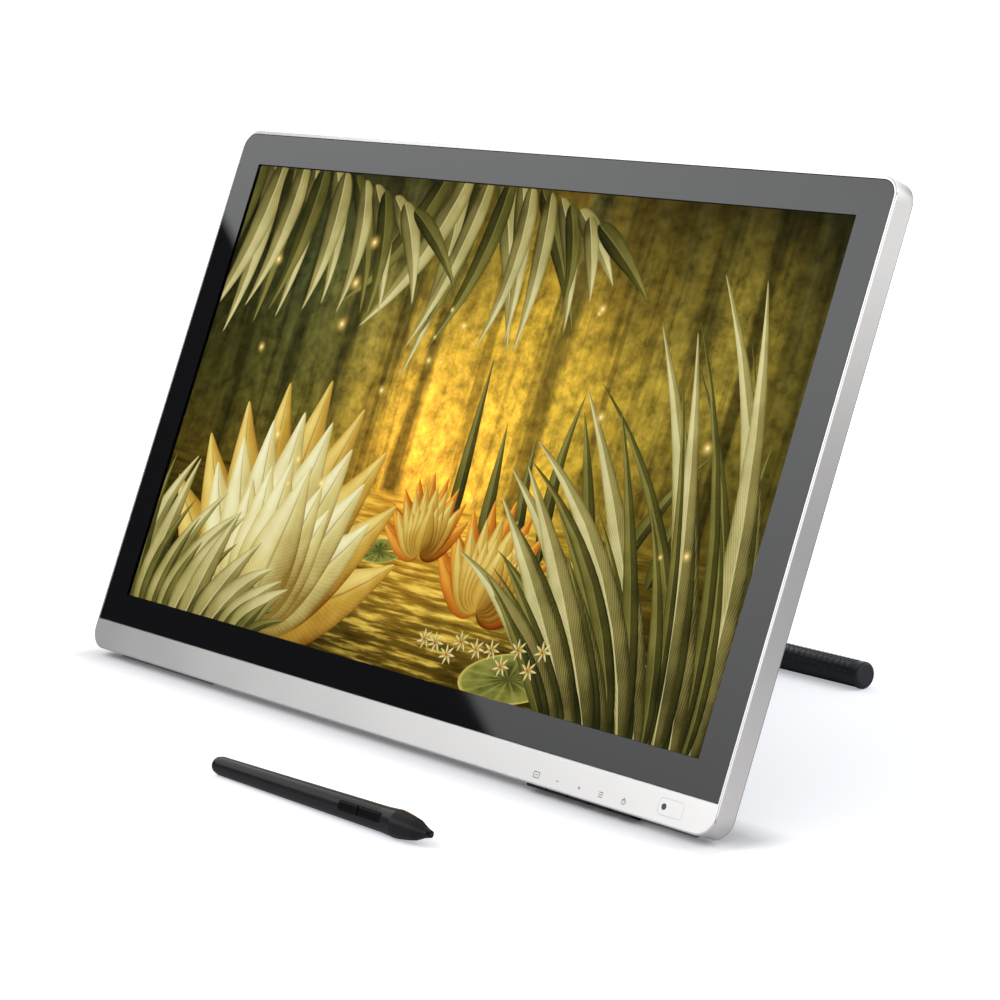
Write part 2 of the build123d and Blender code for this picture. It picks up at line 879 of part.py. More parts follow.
# Key board with side-acting switches above the stems and a tab for the lamp
board_low = chin_floor + key_board_up
board_left = key_places[0] - key_board_over
board_right = window_u + key_board_over
with BuildPart() as key_board:
    with BuildSketch(deep(key_board_level)):
        with Locations(((board_left + board_right) / 2, board_low + key_board_height / 2)):
            Rectangle(board_right - board_left, key_board_height)
        with Locations((lamp_u, board_low - key_board_tab_drop / 2)):
            Rectangle(key_board_tab, key_board_tab_drop)
    extrude(amount=-key_board_thickness)
export_piece(key_board, "key_board")

with BuildPart() as tact_switches:
    for place in key_places:
        with BuildSketch(deep(key_board_level - switch_thickness)):
            with Locations((place, board_low + switch_height / 2)):
                Rectangle(switch_width, switch_height)
        extrude(amount=-switch_thickness)
        with BuildSketch(deep(stem_level - plunger_depth / 2)):
            with Locations((place, board_low - plunger_reach / 2)):
                Rectangle(plunger_width, plunger_reach)
        extrude(amount=-plunger_depth)
export_piece(tact_switches, "tact_switches")

with BuildPart() as indicator_window:
    with BuildSketch(deep(0)):
        with Locations((window_u, window_v)):
            RectangleRounded(window_width, window_height, window_radius)
        with Locations((lamp_u, window_v)):
            Circle(lamp_diameter / 2 + lamp_gap, mode=Mode.SUBTRACT)
    extrude(amount=-window_depth)
export_piece(indicator_window, "indicator_window")

with BuildPart() as indicator_lamp:
    with BuildSketch(deep(lamp_sink)):
        with Locations((lamp_u, window_v)):
            Circle(lamp_diameter / 2)
    extrude(amount=-(key_board_level - lamp_sink))
export_piece(indicator_lamp, "indicator_lamp")

# Stand: a base plate on the narrow pattern of posts
plate_middle = (plate_rise - plate_low) / 2
plate_places = [
    (x_share * vesa_narrow / 2, y_share * vesa_narrow / 2) for x_share in (-1, 1) for y_share in (-1, 1)
]
with BuildPart() as stand_plate:
    with BuildSketch(deep(back_level)):
        with Locations((0, plate_middle)):
            RectangleRounded(plate_width, plate_rise + plate_low, plate_radius)
        with Locations(*plate_places):
            Circle(plate_hole / 2, mode=Mode.SUBTRACT)
    extrude(amount=-plate_thickness)
export_piece(stand_plate, "stand_plate")

with BuildPart() as plate_screws:
    with BuildSketch(deep(plate_back)):
        with Locations(*plate_places):
            Circle(plate_screw_head / 2)
    extrude(amount=-plate_screw_head_height)
    with BuildSketch(deep(plate_back)):
        with Locations(*plate_places):
            Circle(plate_screw_shank / 2)
    extrude(amount=plate_screw_length)
export_piece(plate_screws, "plate_screws")

# Cheeks carry the hinge pin and, above it, the pin of the release lever
with BuildPart() as hinge_cheeks:
    for start in (cheek_inner, -cheek_outer):
        with BuildSketch(across(start)):
            with Locations((hinge_rise, -hinge_level)):
                Circle(cheek_radius)
            with Locations((lever_rise, -lever_level)):
                Circle(ear_radius)
            with BuildLine():
                Polyline(
                    (hinge_rise - cheek_foot, -plate_back),
                    (plate_rise - plate_radius, -plate_back),
                    (plate_rise, -plate_back - ear_radius),
                    (hinge_rise - cheek_radius, -hinge_level),
                    close=True,
                )
            make_face()
            make_hull()
            with Locations((hinge_rise, -hinge_level)):
                Circle(pin_radius + pin_play, mode=Mode.SUBTRACT)
            with Locations((lever_rise, -lever_level)):
                Circle(lever_pin_radius + pin_play, mode=Mode.SUBTRACT)
        extrude(amount=cheek_thickness)
export_piece(hinge_cheeks, "hinge_cheeks")

with BuildPart() as hinge_pin:
    with BuildSketch(across(-cheek_outer)):
        with Locations((hinge_rise, -hinge_level)):
            Circle(pin_radius)
    extrude(amount=2 * cheek_outer + pin_head_height)
    with BuildSketch(across(-cheek_outer - pin_head_height)):
        with Locations((hinge_rise, -hinge_level)):
            Circle(pin_head_radius)
    extrude(amount=pin_head_height)
export_piece(hinge_pin, "hinge_pin")

with BuildPart() as hinge_nut:
    with BuildSketch(across(cheek_outer)):
        with Locations((hinge_rise, -hinge_level)):
            RegularPolygon(pin_head_radius, 6)
            Circle(pin_radius + nut_play, mode=Mode.SUBTRACT)
    extrude(amount=pin_head_height)
export_piece(hinge_nut, "hinge_nut")

with BuildPart() as friction_washers:
    for start in (leg_half_width + washer_play, -leg_half_width - washer_play - washer_thickness):
        with BuildSketch(across(start)):
            with Locations((hinge_rise, -hinge_level)):
                Circle(washer_radius)
                Circle(pin_radius + pin_play, mode=Mode.SUBTRACT)
        extrude(amount=washer_thickness)
export_piece(friction_washers, "friction_washers")

# Leg: a tapering arm between the hinge barrel and the hub that holds the foot tube
def leg_width_at(run):
    return leg_half_width - (leg_half_width - leg_foot_half) * run / leg_length


def arm_points(start, end, margin):
    return [
        (-leg_width_at(start) + margin, start),
        (leg_width_at(start) - margin, start),
        (leg_width_at(end) - margin, end),
        (-leg_width_at(end) + margin, end),
    ]


drum_room = drum_radius + washer_play
groove_start = barrel_radius + 2 * leg_groove_margin
groove_end = leg_length - foot_hub_radius - leg_groove_margin
with BuildPart() as leg:
    with BuildSketch(leg_face.offset(-leg_thickness / 2)):
        with BuildLine():
            Polyline(*arm_points(0, leg_length, 0), close=True)
        make_face()
    extrude(amount=leg_thickness)
    for start, amount in (
        (leg_thickness / 2, -leg_groove),
        (-leg_thickness / 2, leg_groove),
    ):
        with BuildSketch(leg_face.offset(start)):
            with BuildLine():
                Polyline(*arm_points(groove_start, groove_end, leg_groove_margin), close=True)
            make_face()
        extrude(amount=amount, mode=Mode.SUBTRACT)
    with BuildSketch(leg_side.offset(-drum_half - washer_play)):
        Circle(drum_room)
    extrude(amount=2 * drum_half + 2 * washer_play, mode=Mode.SUBTRACT)
    with BuildSketch(leg_side.offset(-leg_half_width)):
        Circle(barrel_radius)
    extrude(amount=2 * leg_half_width)
    with BuildSketch(leg_side.offset(-foot_hub_half)):
        with Locations((leg_length, 0)):
            Circle(foot_hub_radius)
    extrude(amount=2 * foot_hub_half)
    with BuildSketch(leg_side.offset(-leg_half_width)):
        Circle(pin_radius + pin_play)
        with Locations((leg_length, 0)):
            Circle(tube_radius + fit_play)
    extrude(amount=2 * leg_half_width, mode=Mode.SUBTRACT)
export_piece(leg, "leg")

with BuildPart() as brake_drum:
    with BuildSketch(leg_side.offset(-drum_half)):
        Circle(drum_radius)
        Circle(barrel_radius + drum_play, mode=Mode.SUBTRACT)
    extrude(amount=2 * drum_half)
export_piece(brake_drum, "brake_drum")

# Foot tube with its ribbed sleeves and rounded end caps
tube_half = bar_half - cap_length
with BuildPart() as foot_tube:
    with BuildSketch(leg_side.offset(-tube_half)):
        with Locations((leg_length, 0)):
            Circle(tube_radius)
            Circle(tube_radius - tube_wall, mode=Mode.SUBTRACT)
    extrude(amount=2 * tube_half)
export_piece(foot_tube, "foot_tube")

foot_plane = Plane(origin=leg_side.from_local_coords((leg_length, 0, 0)), x_dir=(1, 0, 0), z_dir=(0, 1, 0))
foot_axis = Axis(foot_plane.origin, (1, 0, 0))
sleeve_start = foot_hub_half + fit_play
rib_pitch = sleeve_rib + sleeve_groove
rib_count = int((tube_half - sleeve_start) / rib_pitch)
sleeve_end_band = (tube_half - sleeve_start - rib_count * rib_pitch) / 2
groove_radius = sleeve_radius - sleeve_groove_depth


def sleeve_outline(way):
    points = [(way * sleeve_start, tube_radius + fit_play), (way * sleeve_start, sleeve_radius)]
    for number in range(rib_count):
        rib_end = sleeve_start + sleeve_end_band + number * rib_pitch + sleeve_rib
        points.append((way * rib_end, sleeve_radius))
        points.append((way * rib_end, groove_radius))
        points.append((way * (rib_end + sleeve_groove), groove_radius))
        points.append((way * (rib_end + sleeve_groove), sleeve_radius))
    points.append((way * tube_half, sleeve_radius))
    points.append((way * tube_half, tube_radius + fit_play))
    return points


with BuildPart() as foot_sleeves:
    for way in (-1, 1):
        with BuildSketch(foot_plane):
            with BuildLine():
                Polyline(*sleeve_outline(way), close=True)
            make_face()
        revolve(axis=foot_axis)
export_piece(foot_sleeves, "foot_sleeves")

with BuildPart() as foot_caps:
    for way in (-1, 1):
        with BuildSketch(leg_side.offset(way * tube_half)):
            with Locations((leg_length, 0)):
                Circle(sleeve_radius - fit_play)
        extrude(amount=way * cap_length)
        with BuildSketch(leg_side.offset(way * tube_half)):
            with Locations((leg_length, 0)):
                Circle(tube_radius - tube_wall - fit_play)
        extrude(amount=-way * cap_plug)
    ends = foot_caps.faces().filter_by(GeomType.PLANE).sort_by(Axis.X)
    fillet([ends[0].edges(), ends[-1].edges()], cap_round)
export_piece(foot_caps, "foot_caps")

# Release lever: a handle, a hub on its pin and a shoe that rests just off the brake drum
drum_centre = (hinge_rise, -hinge_level)
lever_centre = (lever_rise, -lever_level)
shoe_inner = drum_radius + shoe_play
shoe_outer = shoe_inner + shoe_thickness
shoe_mid = (shoe_inner + shoe_outer) / 2
shoe_sweep = shoe_to - shoe_from
handle_end = lever_rise + lever_handle_rise


def shoe_point(radius, angle):
    return (
        hinge_rise + radius * cos(radians(angle)),
        -hinge_level - radius * sin(radians(angle)),
    )


with BuildPart() as release_lever:
    with BuildSketch(across(-lever_handle_half)):
        with BuildLine():
            Polyline(
                (lever_rise, -lever_level + lever_thickness / 2),
                (handle_end, -lever_level - lever_handle_bend + lever_thickness / 2),
                (handle_end, -lever_level - lever_handle_bend - lever_thickness / 2),
                (lever_rise, -lever_level - lever_thickness / 2),
                close=True,
            )
        make_face()
    extrude(amount=2 * lever_handle_half)
    with BuildSketch(deep(back_level)):
        with Locations((0, lever_rise)):
            RectangleRounded(2 * lever_handle_half, 2 * lever_handle_rise, lever_handle_radius)
    extrude(amount=-2 * hinge_level, mode=Mode.INTERSECT)
    with BuildSketch(across(-lever_half)):
        with Locations(lever_centre):
            Circle(lever_hub_radius)
    extrude(amount=2 * lever_half)
    with BuildSketch(across(-shoe_half)):
        with BuildLine():
            near = CenterArc(drum_centre, shoe_inner, -shoe_from, -shoe_sweep)
            far = CenterArc(drum_centre, shoe_outer, -shoe_from, -shoe_sweep)
            Line(near @ 0, far @ 0)
            Line(near @ 1, far @ 1)
        make_face()
        with BuildLine():
            Polyline(
                lever_centre,
                shoe_point(shoe_mid, shoe_from),
                shoe_point(shoe_mid, shoe_from + shoe_sweep / 2),
                close=True,
            )
        make_face()
    extrude(amount=2 * shoe_half)
    with BuildSketch(across(-lever_half)):
        with Locations(lever_centre):
            Circle(lever_pin_radius + pin_play)
    extrude(amount=2 * lever_half, mode=Mode.SUBTRACT)
export_piece(release_lever, "release_lever")

with BuildPart() as lever_pin:
    with BuildSketch(across(-cheek_outer)):
        with Locations(lever_centre):
            Circle(lever_pin_radius)
    extrude(amount=2 * cheek_outer)
    for start in (-cheek_outer - lever_pin_head, cheek_outer):
        with BuildSketch(across(start)):
            with Locations(lever_centre):
                Circle(lever_pin_head_radius)
        extrude(amount=lever_pin_head)
export_piece(lever_pin, "lever_pin")

spring_length = spring_turns * spring_pitch
spring_start = (lever_half + cheek_inner - spring_length) / 2
spring_base = side.from_local_coords((lever_rise, -lever_level, spring_start))
with BuildPart() as lever_spring:
    with BuildLine() as coil:
        Helix(spring_pitch, spring_length, spring_radius, center=spring_base, direction=(1, 0, 0))
    with BuildSketch(Plane(origin=coil.line @ 0, z_dir=coil.line % 0)):
        Circle(spring_wire / 2)
    sweep()
export_piece(lever_spring, "lever_spring")

# The least gap between the spring's turns, measured on points along its wire
wire_points = [coil.line @ (number / spring_samples) for number in range(spring_samples + 1)]
half_turn = int(spring_samples / spring_turns / 2)
spring_gap = min(
    (there - here).length - spring_wire
    for number, here in enumerate(wire_points)
    for there in wire_points[number + half_turn:]
)
print("lever spring least gap", round(spring_gap, 3))

# Pen: tail cap, barrel, grip and nose turned about one axis
with BuildPart() as pen_tail_piece:
    with BuildSketch(pen_side):
        with BuildLine():
            Polyline(
                (0, 0),
                (0, pen_tail_end_radius),
                (pen_tail_cap, pen_tail_radius),
                (pen_tail_cap, pen_tail_radius - pen_wall - pen_plug_play),
                (pen_tail_cap + pen_plug, pen_tail_radius - pen_wall - pen_plug_play),
                (pen_tail_cap + pen_plug, 0),
                close=True,
            )
        make_face()
    revolve(axis=pen_axis)
    fillet(pen_tail_piece.faces().sort_by(pen_axis)[0].edges(), pen_end_round)
export_piece(pen_tail_piece, "pen_tail_cap")

with BuildPart() as pen_barrel:
    with BuildSketch(pen_side):
        with BuildLine():
            Polyline(
                (pen_tail_cap, pen_tail_radius - pen_wall),
                (pen_tail_cap, pen_tail_radius),
                (pen_grip_start, pen_grip_radius),
                (pen_grip_start, pen_grip_radius - pen_wall),
                close=True,
            )
        make_face()
    revolve(axis=pen_axis)
export_piece(pen_barrel, "pen_barrel")

grip_bore = pen_grip_radius - pen_wall
switch_window = pen_switch_to - pen_switch_from + 2 * pen_switch_gap
switch_middle = (pen_switch_to + pen_switch_from) / 2
with BuildPart() as pen_grip:
    with BuildSketch(pen_side):
        with BuildLine():
            Polyline(
                (pen_grip_start, grip_bore),
                (pen_grip_start, pen_grip_radius),
                (pen_waist, pen_waist_radius),
                (pen_shoulder, pen_shoulder_radius),
                (pen_shoulder, grip_bore),
                close=True,
            )
        make_face()
    revolve(axis=pen_axis)
    with BuildSketch(pen_deck):
        with Locations((switch_middle, 0)):
            Rectangle(switch_window, pen_switch_width + 2 * pen_switch_gap)
    extrude(amount=pen_shoulder_radius, mode=Mode.SUBTRACT)
export_piece(pen_grip, "pen_grip")

switch_face = pen_waist_radius + pen_switch_proud
switch_spans = {
    "pen_switch_rear": (pen_switch_from, pen_switch_split - pen_switch_gap),
    "pen_switch_front": (pen_switch_split + pen_switch_gap, pen_switch_to),
}
for label, (start, end) in switch_spans.items():
    with BuildPart() as pen_switch:
        with BuildSketch(pen_deck.offset(pen_shelf_height - pen_shelf_thickness)):
            with Locations(((start + end) / 2, 0)):
                Rectangle(end - start, pen_switch_width)
        extrude(amount=switch_face - pen_shelf_height + pen_shelf_thickness)
        top = pen_switch.faces().sort_by(Axis(pen_tail, pen_top))[-1]
        fillet(top.edges(), pen_switch_round)
        with BuildSketch(pen_deck.offset(pen_shelf_height - pen_shelf_thickness)):
            with Locations(((start + end) / 2, 0)):
                Rectangle(end - start, pen_shelf_width)
        extrude(amount=pen_shelf_thickness)
    export_piece(pen_switch, label)

nose_end = pen_length - nib_out
nose_cavity = pen_nose_mid_radius - pen_wall
with BuildPart() as pen_nose:
    with BuildSketch(pen_side):
        with BuildLine():
            ThreePointArc(
                (pen_shoulder, pen_shoulder_radius),
                (pen_nose_swell, pen_nose_swell_radius),
                (pen_nose_mid, pen_nose_mid_radius),
            )
            Polyline(
                (pen_nose_mid, pen_nose_mid_radius),
                (pen_neck, pen_neck_radius),
                (nose_end, pen_nose_radius),
                (nose_end, nib_radius + nib_play),
                (pen_nose_mid, nib_radius + nib_play),
                (pen_nose_mid - pen_wall, nose_cavity),
                (pen_shoulder - pen_plug, nose_cavity),
                (pen_shoulder - pen_plug, grip_bore - pen_plug_play),
                (pen_shoulder, grip_bore - pen_plug_play),
                (pen_shoulder, pen_shoulder_radius),
            )
        make_face()
    revolve(axis=pen_axis)
    with BuildSketch(pen_deck.offset(-pen_shoulder_radius)):
        with Locations((nose_end, 0)):
            Rectangle(2 * pen_slit_depth, pen_slit)
    extrude(amount=2 * pen_shoulder_radius, mode=Mode.SUBTRACT)
export_piece(pen_nose, "pen_nose")

with BuildPart() as pen_nib:
    with BuildSketch(pen_side):
        with BuildLine():
            Polyline(
                (pen_length - nib_back, 0),
                (pen_length - nib_back, nib_radius),
                (pen_length, nib_radius),
                (pen_length, 0),
                close=True,
            )
        make_face()
    revolve(axis=pen_axis)
    fillet(pen_nib.faces().sort_by(pen_axis)[-1].edges(), nib_round)
export_piece(pen_nib, "pen_nib")

with BuildPart() as pen_coil:
    with BuildSketch(pen_side):
        with BuildLine():
            Polyline(
                (pen_coil_from, nib_radius + pen_coil_play),
                (pen_coil_from, nose_cavity - pen_plug_play),
                (pen_coil_from + pen_coil_length, nose_cavity - pen_plug_play),
                (pen_coil_from + pen_coil_length, nib_radius + pen_coil_play),
                close=True,
            )
        make_face()
    revolve(axis=pen_axis)
export_piece(pen_coil, "pen_coil")

with BuildPart() as pen_board:
    with BuildSketch(pen_deck.offset(-pen_board_thickness / 2)):
        with Locations((pen_board_from + pen_board_length / 2, 0)):
            Rectangle(pen_board_length, pen_board_width)
    extrude(amount=pen_board_thickness)
export_piece(pen_board, "pen_board")

with BuildPart() as pen_cell:
    with BuildSketch(pen_side):
        with BuildLine():
            Polyline(
                (pen_cell_from, 0),
                (pen_cell_from, pen_cell_radius),
                (pen_cell_from + pen_cell_length, pen_cell_radius),
                (pen_cell_from + pen_cell_length, 0),
                close=True,
            )
        make_face()
    revolve(axis=pen_axis)
export_piece(pen_cell, "pen_cell")
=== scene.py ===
import json
import math
import random

import bmesh
import bpy
from mathutils import Matrix, Vector


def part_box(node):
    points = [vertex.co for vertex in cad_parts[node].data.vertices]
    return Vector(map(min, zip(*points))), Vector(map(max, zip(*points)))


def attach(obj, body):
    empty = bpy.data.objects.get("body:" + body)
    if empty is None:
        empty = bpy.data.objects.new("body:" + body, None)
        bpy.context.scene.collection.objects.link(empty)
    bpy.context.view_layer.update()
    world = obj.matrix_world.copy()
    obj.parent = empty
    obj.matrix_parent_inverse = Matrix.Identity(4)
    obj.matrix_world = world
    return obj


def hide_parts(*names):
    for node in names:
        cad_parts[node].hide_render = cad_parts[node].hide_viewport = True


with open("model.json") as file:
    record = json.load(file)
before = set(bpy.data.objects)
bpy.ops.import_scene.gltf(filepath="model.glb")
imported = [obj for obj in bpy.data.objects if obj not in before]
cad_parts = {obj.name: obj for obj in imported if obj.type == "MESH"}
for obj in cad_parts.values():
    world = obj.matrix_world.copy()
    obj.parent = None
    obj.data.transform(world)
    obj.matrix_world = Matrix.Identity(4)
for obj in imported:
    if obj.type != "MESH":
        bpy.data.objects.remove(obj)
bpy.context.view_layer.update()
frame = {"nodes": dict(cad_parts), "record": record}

record = frame["record"]
mm = 0.001
mounts = {mount["name"]: mount for mount in record["mounts"]}
print("frame loaded:", len(frame["nodes"]), "nodes")


# the face of the tablet, read from the frame: u to the right, v up the face, w out of it
face = {
    "backDepth": 38.0 * mm,  # from the front of the glass to the mounting face
}
outward = -Vector(mounts["vesa_100"]["axis"]).normalized()
upward = outward.cross(Vector((1, 0, 0))).normalized()
middle = Vector(mounts["vesa_100"]["pos_m"]) + outward * face["backDepth"]
contact = Vector((0, mounts["desk_rest"]["pos_m"][1], 0))
faceMatrix = Matrix.Translation(middle) @ Matrix(((1, 0, 0), upward, outward)).transposed().to_4x4()


def onFace(u, v):
    return faceMatrix @ Vector((u * mm, v * mm, 0.0))


# camera, placed from the line where the tablet meets the desk
cameraView = {
    "place": Vector((1160.31, -924.74, 400.97)) * mm,
    "turn": (79.543, 0.0, 48.965),
    "lens": 103.81,
    "sensor": 36.0,
}
cameraPlace = contact + cameraView["place"]
camera = bpy.data.objects.new("camera", bpy.data.cameras.new("camera"))
camera.location = cameraPlace
camera.rotation_euler = [math.radians(angle) for angle in cameraView["turn"]]
camera.data.lens = cameraView["lens"]
camera.data.sensor_width = cameraView["sensor"]
camera.data.clip_end = 400.0
bpy.context.scene.collection.objects.link(camera)
bpy.context.scene.camera = camera
bpy.context.scene.view_settings.view_transform = "Standard"
print("camera placed")


# small tools for shading
def addNode(tree, kind, values=None, **settings):
    node = tree.nodes.new(kind)
    for key, value in settings.items():
        setattr(node, key, value)
    for key, value in (values or {}).items():
        if isinstance(value, bpy.types.NodeSocket):
            tree.links.new(value, node.inputs[key])
        else:
            node.inputs[key].default_value = value
    return node


def sums(tree, operation, *values):  # one number worked out from others
    return addNode(tree, "ShaderNodeMath", dict(enumerate(values)), operation=operation).outputs[0]


def spread(tree, value, low, high, newLow=0.0, newHigh=1.0):
    return addNode(tree, "ShaderNodeMapRange", {
        "Value": value, "From Min": low, "From Max": high, "To Min": newLow, "To Max": newHigh,
    }, clamp=True).outputs[0]


def blendColor(tree, share, first, second, kind="MIX"):
    first, second = [
        value if isinstance(value, bpy.types.NodeSocket) else (*value, 1.0) for value in (first, second)
    ]
    return addNode(
        tree, "ShaderNodeMix", {0: share, 6: first, 7: second}, data_type="RGBA", blend_type=kind
    ).outputs[2]


def colorRamp(tree, value, stops):
    node = addNode(tree, "ShaderNodeValToRGB", {"Fac": value})
    while len(node.color_ramp.elements) < len(stops):
        node.color_ramp.elements.new(0.5)
    for element, (position, color) in zip(node.color_ramp.elements, stops):
        element.position = position
        element.color = (*color, 1.0)
    return node.outputs["Color"]


def newMaterial(name):
    material = bpy.data.materials.new(name)
    material.use_nodes = True
    tree = material.node_tree
    return material, tree, tree.nodes["Principled BSDF"]


# grain: a fine and a broad pattern over a surface, in real sizes
def makeGrainGroup():
    tree = bpy.data.node_groups.new("surfaceGrain", "ShaderNodeTree")
    for name, start in (("Fine Scale", 2000.0), ("Broad Scale", 30.0)):
        tree.interface.new_socket(name, in_out="INPUT", socket_type="NodeSocketFloat").default_value = start
    for name in ("Fine", "Broad"):
        tree.interface.new_socket(name, in_out="OUTPUT", socket_type="NodeSocketFloat")
    source, target = addNode(tree, "NodeGroupInput"), addNode(tree, "NodeGroupOutput")
    spot = addNode(tree, "ShaderNodeTexCoord").outputs["Object"]
    for scale, name, detail in (("Fine Scale", "Fine", 2.0), ("Broad Scale", "Broad", 4.0)):
        noise = addNode(
            tree, "ShaderNodeTexNoise", {"Vector": spot, "Scale": source.outputs[scale], "Detail": detail}
        )
        tree.links.new(noise.outputs["Fac"], target.inputs[name])
    return tree


grainGroup = makeGrainGroup()


def surfaceFinish(name, look):
    material, tree, shader = newMaterial(name)
    grain = addNode(tree, "ShaderNodeGroup", node_tree=grainGroup)
    grain.inputs["Fine Scale"].default_value = look.get("fine", 2000.0)
    grain.inputs["Broad Scale"].default_value = look.get("broad", 30.0)
    color = look["color"]
    vary = look.get("vary", 0.06)
    dark = tuple(channel * (1 - vary) for channel in color)
    light = tuple(min(1.0, channel * (1 + vary)) for channel in color)
    speck = look.get("speck", 0.5)
    tone = sums(tree, "ADD", sums(tree, "MULTIPLY", grain.outputs["Fine"], speck),
                sums(tree, "MULTIPLY", grain.outputs["Broad"], 1 - speck))
    tree.links.new(blendColor(tree, spread(tree, tone, 0.3, 0.7), dark, light), shader.inputs["Base Color"])
    roughLow, roughHigh = look["rough"]
    tree.links.new(
        spread(tree, grain.outputs["Broad"], 0.3, 0.7, roughLow, roughHigh), shader.inputs["Roughness"]
    )
    bump = addNode(tree, "ShaderNodeBump", {
        "Strength": look.get("bump", 0.3), "Distance": look.get("depth", 0.00002),
        "Height": grain.outputs["Fine"],
    })
    tree.links.new(bump.outputs["Normal"], shader.inputs["Normal"])
    shader.inputs["Metallic"].default_value = look.get("metallic", 0.0)
    shader.inputs["Coat Weight"].default_value = look.get("coat", 0.0)
    shader.inputs["Coat Roughness"].default_value = look.get("coatRough", 0.1)
    shader.inputs["Specular IOR Level"].default_value = look.get("gloss", 0.5)
    return material


finishes = {
    "silverPaintAndShade": {
        "nodes": ["front_frame", "indicator_window"], "color": (0.815, 0.80, 0.785), "vary": 0.025,
        "rough": (0.34, 0.40), "metallic": 0.85, "fine": 5200.0, "broad": 14.0, "speck": 0.7, "bump": 0.10,
        "depth": 0.00001,
    },
    "lampDark": {"nodes": ["indicator_lamp"], "color": (0.02, 0.02, 0.024), "rough": (0.06, 0.12)},
    "keyBlack": {
        "nodes": ["key_input", "key_minus", "key_plus", "key_menu", "key_power"],
        "color": (0.010, 0.008, 0.009), "rough": (0.34, 0.42), "fine": 3200.0, "gloss": 0.10,
    },
    "darkPlastic": {
        "nodes": ["rear_cover", "port_bay"], "color": (0.030, 0.031, 0.035), "rough": (0.48, 0.60),
        "fine": 1500.0, "broad": 18.0, "bump": 0.55, "depth": 0.00012, "gloss": 0.3,
    },
    "socketBlack": {
        "nodes": ["power_socket", "video_socket", "data_socket", "tact_switches"],
        "color": (0.016, 0.016, 0.017), "rough": (0.25, 0.40),
    },
    "footRubber": {
        "nodes": ["foot_pads"], "color": (0.20, 0.20, 0.21), "rough": (0.75, 0.88), "fine": 2400.0,
        "bump": 0.5, "depth": 0.00006, "gloss": 0.1,
    },
    "blackSteel": {
        "nodes": ["stand_plate", "hinge_cheeks", "leg", "release_lever"], "color": (0.020, 0.021, 0.024),
        "rough": (0.42, 0.55), "fine": 1900.0, "broad": 40.0, "bump": 0.5, "depth": 0.00006,
    },
    "bareSteel": {
        "nodes": ["hinge_pin", "hinge_nut", "lever_pin", "foot_tube"], "color": (0.50, 0.50, 0.52),
        "rough": (0.24, 0.38), "metallic": 1.0, "fine": 2600.0,
    },
    "zincSteel": {
        "nodes": [
            "cover_screws", "plate_screws", "lever_spring", "chassis_plate", "clinch_nuts", "mounting_posts",
            "panel_bezel", "panel_tray", "shield_can", "sensor_shield",
        ],
        "color": (0.60, 0.61, 0.62), "rough": (0.22, 0.42), "metallic": 1.0, "fine": 900.0,
    },
    "brakeIron": {
        "nodes": ["brake_drum"], "color": (0.11, 0.11, 0.115), "rough": (0.40, 0.60), "metallic": 0.9,
    },
    "washerPlastic": {"nodes": ["friction_washers"], "color": (0.46, 0.46, 0.44), "rough": (0.45, 0.60)},
    "sleeveRubber": {
        "nodes": ["foot_caps"], "color": (0.017, 0.019, 0.023), "rough": (0.46, 0.58), "fine": 2600.0,
        "bump": 0.35, "depth": 0.00004, "gloss": 0.30,
    },
    "penMatte": {
        "nodes": ["pen_barrel", "pen_grip", "pen_nose"], "color": (0.0105, 0.0090, 0.0102),
        "rough": (0.30, 0.36), "fine": 4200.0, "broad": 60.0, "bump": 0.25, "depth": 0.00002,
        "gloss": 0.10, "coat": 0.10, "coatRough": 0.12,
    },
    "penGloss": {
        "nodes": ["pen_tail_cap", "pen_switch_rear", "pen_switch_front"], "color": (0.0030, 0.0030, 0.0034),
        "rough": (0.18, 0.26), "gloss": 0.05,
    },
    "nibDark": {"nodes": ["pen_nib"], "color": (0.016, 0.016, 0.017), "rough": (0.35, 0.50), "gloss": 0.3},
    "blackPrint": {
        "nodes": ["printed_border", "bond_tape"], "color": (0.008, 0.008, 0.009), "rough": (0.5, 0.7),
    },
    "whiteSheet": {
        "nodes": ["optical_sheets", "reflector_sheet", "light_guide"], "color": (0.85, 0.86, 0.87),
        "rough": (0.3, 0.5),
    },
    "circuitBoard": {
        "nodes": ["sensor_board", "main_board", "key_board", "led_strip", "pen_board"],
        "color": (0.02, 0.12, 0.05), "vary": 0.3, "rough": (0.25, 0.45), "broad": 220.0,
    },
    "flatCable": {"nodes": ["flat_cables"], "color": (0.75, 0.73, 0.66), "rough": (0.35, 0.5)},
    "coilCopper": {"nodes": ["pen_coil"], "color": (0.60, 0.28, 0.12), "rough": (0.3, 0.45), "metallic": 1.0},
    "cellMetal": {"nodes": ["pen_cell"], "color": (0.6, 0.6, 0.62), "rough": (0.25, 0.4), "metallic": 1.0},
}
silverPaintedShade = {  # painted shade and reflection in the silver, matched to the photograph: equal tones take it out
    "chin": [(0.0, 0.53), (0.14, 0.66), (0.33, 0.79), (0.55, 0.87), (1.0, 0.94)],  # painted shade, darker to the left; left to right
    "chinSpan": (-260.0, 260.0),
    "band": [  # painted shade and reflection down the band, from the top down
        (0.0, 1.0), (0.13, 1.0), (0.27, 0.88), (0.42, 0.73), (0.57, 0.68), (0.75, 0.82), (1.0, 1.0),
    ],
    "bandSpan": (160.0, -170.0), "bandStart": (258.6, 259.1), "bandDepth": (-0.4, -0.9),
    "rearLine": -12.75, "frontLine": 258.95, "lineHalf": 0.16, "lineBlur": 0.08, "lineTone": 0.45,
    "lineStart": (240.0, 246.0), "cornerRise": (142.0, 150.0), "cornerSide": (243.0, 248.0),
    # the corner keys place a painted shade on the top corners of the band, darker towards the rear
    "cornerDepth": (-0.6, -1.2), "cornerShadeTones": (-1.5, -13.0, 0.78, 0.30),
}
